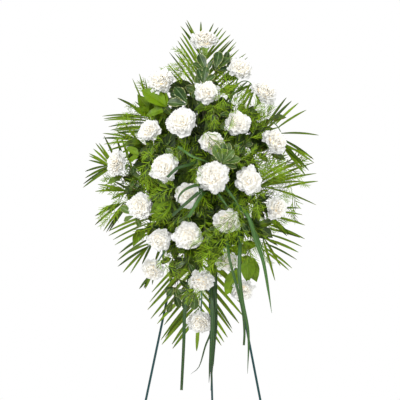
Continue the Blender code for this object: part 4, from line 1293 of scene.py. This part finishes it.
def branchlet(number, thorn):
    """A flat side shoot 50 mm long with needles on both sides of it."""
    rnd = random.Random(SEEDS["branchlet"] + number)
    parts = [copy_of(thorn, Matrix.Diagonal((0.0014, 0.050, 0.0012, 1)), 0.35)]
    for i in range(7):
        share = i / 6
        side = 1 if i % 2 else -1
        size = 0.0250 * (0.75 + 0.35 * math.sin(math.pi * share)) * rnd.uniform(0.8, 1.15)
        turn = Matrix.Rotation(side * math.radians(-rnd.uniform(16, 46)), 4, "Z")
        roll = Matrix.Rotation(rnd.uniform(-0.5, 0.5), 4, "X")
        place = Matrix.Translation((0, 0.003 + 0.037 * share, 0)) @ turn @ roll
        tone = rnd.uniform(0.60, 1.0) if rnd.random() < 0.6 else rnd.uniform(0.0, 0.35)
        parts.append(copy_of(thorn, place @ Matrix.Diagonal((0.0031, size, 0.0018, 1)), tone))
    return join(f"branchlet_pattern_{number}", parts)


def plume(number, shoots, count, widest):
    """The feathered end of a fern stem, 150 mm long along +Y."""
    rnd = random.Random(SEEDS["plume"] + number)
    parts = []
    for i in range(count):
        share = i / (count - 1)
        side = 1 if i % 2 else -1
        angle = math.radians(widest - 36 * share + rnd.uniform(-9, 9))
        size = (0.62 + 0.55 * math.sin(math.pi * (0.12 + 0.72 * share))) * rnd.uniform(0.85, 1.1)
        place = Matrix.Translation((0, 0.006 + 0.112 * share, 0))
        place = place @ Matrix.Rotation(-side * angle, 4, "Z") @ Matrix.Rotation(rnd.uniform(-0.15, 0.45), 4, "X")
        place = place @ Matrix.Rotation(rnd.uniform(-0.8, 0.8), 4, "Y")
        piece = copy_of(rnd.choice(shoots), place @ Matrix.Scale(size, 4))
        shift_tint(piece, rnd.uniform(-0.35, 0.20))
        parts.append(piece)
    parts.append(copy_of(shoots[0], Matrix.Translation((0, 0.112, 0)) @ Matrix.Scale(0.85, 4)))
    return join(f"plume_pattern_{number}", parts)


def grow_plume(pattern, points, scale, tone):
    """A fern stem through the points, feathered at its end."""
    part = copy_of(pattern, Matrix.Scale(scale, 4))
    shift_tint(part, tone - 0.5)
    lay_along(part, points, FRONT, PLUME_LENGTH * scale)
    return [part, stem("fern_stem", points, 0.0010, 0.0004, FERN_STEM, 1)]


def fern_spread(count, half_width, up_reach, down_reach):
    """Places spread evenly over a tall diamond, from its middle outwards."""
    for i in range(count):
        turn = i * math.pi * (3 - math.sqrt(5))
        across, up = math.cos(turn), math.sin(turn)
        height = up_reach if up > 0 else down_reach
        edge = 1 / (abs(across) / half_width + abs(up) / height)
        yield across, up, math.sqrt((i + 0.5) / count) * edge


def fern_bunches(plumes, rnd):
    """Two layers of fern all over the dome, the second deeper than the first and the deeper plumes painted darker as
    shade, joined into six pieces.
    """
    bunches = []
    heads = flower_heads()
    for count, reach_share, least, most in FERN_LAYERS:
        spread = fern_spread(count, *(reach * reach_share for reach in FERN_REACH))
        for number, (across, up, reach) in enumerate(spread):
            tip = Vector((across, up)) * reach
            way = Vector((across, up)) + Vector((rnd.uniform(-1, 1), rnd.uniform(-1, 1))) * (1.25 - reach * 2.5)
            way.normalize()
            scale = rnd.uniform(0.75, 1.05)
            start = tip - way * (PLUME_RUN * scale)
            below = rnd.uniform(least, most)
            ahead_tip = max(0.040, dome_ahead(*tip) - max(below, room_behind(heads, tip)))
            ahead_start = dome_ahead(*start) - max(below, room_behind(heads, start)) - rnd.uniform(0.01, 0.03)
            ahead_start = max(0.040, ahead_start)
            points = curve_through([
                foot_in_foam(start.x, start.y, 0.22), spot(*(start * 0.55), (ahead_start + STEM_EXIT) / 2),
                spot(*start, ahead_start), spot(*tip, ahead_tip),
            ], 5)
            # Painted shade: plumes further below the dome are darker. The outer half of each layer is made lighter.
            tone = 0.92 - 14 * below + rnd.uniform(-0.25, 0.15) + 0.40 * max(0, 2 * number / count - 1)
            bunches.append(grow_plume(rnd.choice(plumes), points, scale, tone))
    for number in range(6):
        parts = [part for bunch in bunches[number::6] for part in bunch]
        finished(join(f"tree_fern_bunch_{number + 1:02d}", parts), "stand", "fern_green")


def fern():
    thorn = needle()
    shoots = [branchlet(number, thorn) for number in range(3)]
    *plumes, thin_plume, airy_plume = [plume(number, shoots, *shape) for number, shape in enumerate(PLUMES)]
    rnd = random.Random(SEEDS["fern"])
    for number, pattern in enumerate(plumes, 1):
        solid = f"fern_plume_{number:02d}"
        points = [middle(ring) for ring in rings_along(solid)]
        run = [points[0].lerp(points[-1], t) for t in QUARTERS]
        piece = join(f"tree_fern_{number:02d}", grow_plume(pattern, run, 0.95, 0.95))
        finished(piece, "stand", "fern_green", solid)
    fern_bunches(plumes, rnd)
    for name, places, patterns, paler in (
        ("wisps", WISPS, [thin_plume], 0.25),
        ("over_blooms", OVER_BLOOMS, [thin_plume, airy_plume], 0),
        ("between_blooms", BETWEEN_BLOOMS, [airy_plume, *plumes], 0),
    ):
        parts = []
        for start, tip in places:
            start, tip = spot_in_mm(*start), spot_in_mm(*tip)
            foot = foot_in_foam(start.x, start.z - HEART.z, 0.22)
            points = curve_through([foot, foot.lerp(start, 0.6) + FRONT * 0.01, start, tip], 5)
            scale = max(0.55, (tip - start).length / PLUME_RUN) * rnd.uniform(0.95, 1.05)
            tone = rnd.uniform(0.75, 1.0) + paler
            parts += grow_plume(rnd.choice(patterns), points, min(scale, 0.80), tone)
        finished(join(f"tree_fern_{name}", parts), "stand", "fern_green")
    shelve(thorn, *shoots, *plumes, thin_plume, airy_plume)


# Thin ends of fern that stand out past the palm: where each leaves the dome and where it ends, as across, up and ahead
# in millimetres.
WISPS = [
    ((-22, 275, 80), (-105, 300, 50)), ((-20, 300, 80), (-74, 350, 50)), ((-138, 175, 90), (-195, 200, 60)),
    ((-164, 115, 90), (-236, 105, 60)), ((-150, 125, 90), (-225, 130, 60)), ((-200, -30, 90), (-268, -85, 60)),
    ((-190, -50, 90), (-262, -105, 60)), ((215, 30, 90), (264, -10, 70)), ((220, 0, 90), (232, -95, 70)),
    ((74, 238, 100), (125, 235, 80)), ((140, -160, 90), (172, -205, 70)),
]
# The same of fern that lies over blooms 8, 9, 17, 20 and 22, and of fern that fills the gaps between blooms.
OVER_BLOOMS = [
    ((38, -128, 245), (-18, -157, 244)), ((91, -202, 205), (43, -189, 229)), ((87, -79, 246), (44, -118, 256)),
    ((96, -79, 239), (68, -133, 247)), ((57, 95, 249), (82, 153, 229)), ((13, 123, 233), (57, 73, 255)),
]
BETWEEN_BLOOMS = [
    ((57, -138, 226), (-5, -197, 207)), ((67, -150, 219), (14, -218, 193)), ((101, -99, 219), (129, -194, 168)),
    ((91, -114, 220), (100, -188, 183)), ((-91, -196, 183), (-31, -233, 184)), ((-2, 58, 246), (-9, -1, 250)),
    ((-120, 60, 211), (-134, -15, 206)), ((-66, -16, 240), (-123, -35, 216)), ((29, 190, 205), (38, 133, 225)),
    ((74, 175, 202), (105, 218, 168)), ((128, 115, 192), (150, 170, 150)), ((96, 50, 222), (140, 84, 200)),
    ((120, 44, 205), (160, 20, 180)), ((-100, 99, 213), (-144, 65, 194)), ((135, -30, 200), (146, -90, 185)),
    ((100, -60, 222), (136, -70, 200)), ((-53, 84, 234), (-57, 54, 238)), ((-9, -256, 174), (-36, -294, 146)),
    ((16, -106, 239), (22, -173, 216)), ((-33, 314, 133), (-61, 260, 164)), ((52, 243, 175), (54, 180, 204)),
    ((-46, -82, 236), (-71, -109, 224)), ((-84, -75, 224), (-118, -99, 205)), ((140, -124, 180), (150, -185, 150)),
    ((118, 165, 155), (148, 214, 132)), ((150, 0, 150), (214, 42, 120)), ((148, 20, 150), (206, 62, 125)),
    ((146, -12, 140), (204, 14, 120)), ((-56, -140, 170), (-84, -190, 150)), ((74, 146, 180), (106, 196, 152)),
    ((118, 136, 170), (156, 182, 142)), ((98, 148, 168), (138, 190, 140)), ((94, 180, 150), (120, 226, 128)),
    ((150, 130, 140), (172, 190, 125)), ((215, -20, 110), (196, 30, 105)), ((150, 165, 140), (178, 195, 120)),
    ((-165, 140, 110), (-222, 155, 80)), ((-195, 20, 90), (-258, 10, 65)), ((-142, 160, 100), (-205, 180, 70)),
    ((170, -30, 120), (226, -40, 90)), ((155, -80, 120), (214, -104, 90)), ((140, -90, 120), (186, -124, 100)),
    ((-30, 285, 90), (-78, 312, 60)), ((0, -220, 150), (6, -292, 130)), ((30, -180, 170), (46, -236, 150)),
]


# ---------------------------------------------------------------- easel and holder


def repaint(names, finish):
    for name in names:
        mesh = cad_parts[name].data
        mesh.materials.clear()
        mesh.materials.append(finish)


def easel_and_holder():
    repaint(
        ["front_leg_left", "front_leg_right", "hinge_bar", "stop_bar", "crossbar", "rest_hook_left",
         "rest_hook_right", "rear_leg"],
        enamel_finish(),
    )
    repaint(["foam_block"], foam_finish())
    repaint(["foam_tray"], plastic_finish("tray_plastic", (0.010, 0.050, 0.022), (0.022, 0.080, 0.036), 0.42))
    repaint(
        ["cable_tie_upper", "cable_tie_lower"],
        plastic_finish("tie_plastic", (0.012, 0.060, 0.028), (0.020, 0.085, 0.040), 0.36),
    )


# ---------------------------------------------------------------- stage

# How bright the white room is to the object. The backdrop itself is plain white.
AMBIENT = 0.80
FLOOR_RADIUS = 2.6
# Of each light: its name, place, size and power.
LIGHTS = [("key", (-1.9, -2.9, 3.1), 1.4, 78), ("fill", (2.4, -2.6, 1.6), 2.2, 46)]
# The camera looks level and a little from the right.
CAMERA_TURN = math.radians(3.8)
CAMERA_DISTANCE = 3.5
CAMERA_AIM = Vector((-0.0014, -0.33, HEART.z - 0.045))


def stage():
    put_down()
    bpy.ops.mesh.primitive_circle_add(vertices=96, radius=FLOOR_RADIUS, fill_type="NGON", location=(0, 0, 0))
    floor = named("studio_floor")
    finish, tree = new_finish("studio_floor", {"Roughness": 0.8})
    shade = mixed(tree, speckle(tree, 3.0), (0.90, 0.90, 0.90), (0.93, 0.93, 0.93))
    floor.data.materials.append(finish_off(finish, shade))

    world = bpy.data.worlds.new("studio")
    bpy.context.scene.world = world
    world.use_nodes = True
    backdrop = world.node_tree.nodes["Background"]
    backdrop.inputs["Color"].default_value = (1, 1, 1, 1)
    seen = node(world.node_tree, "LightPath").outputs["Is Camera Ray"]
    world.node_tree.links.new(ranged(world.node_tree, seen, AMBIENT, 1.0), backdrop.inputs["Strength"])

    for name, place, size, power in LIGHTS:
        put_down()
        bpy.ops.object.light_add(type="AREA", location=place)
        light = named(f"{name}_light")
        light.data.shape = "DISK"
        light.data.size = size
        light.data.energy = power
        light.rotation_euler = (HEART - light.location).to_track_quat("-Z", "Y").to_euler()


def camera():
    put_down()
    back = Vector((math.sin(CAMERA_TURN), -math.cos(CAMERA_TURN), 0))
    bpy.ops.object.camera_add(location=CAMERA_AIM + CAMERA_DISTANCE * back)
    view = named("camera")
    view.rotation_euler = (math.pi / 2, 0, CAMERA_TURN)
    view.data.lens = 126
    view.data.sensor_width = 36
    bpy.context.scene.camera = view
    bpy.context.scene.view_settings.view_transform = "Standard"


camera()
stage()
easel_and_holder()
carnations()
palm_fronds()
leafy_pieces()
grass()
fern()
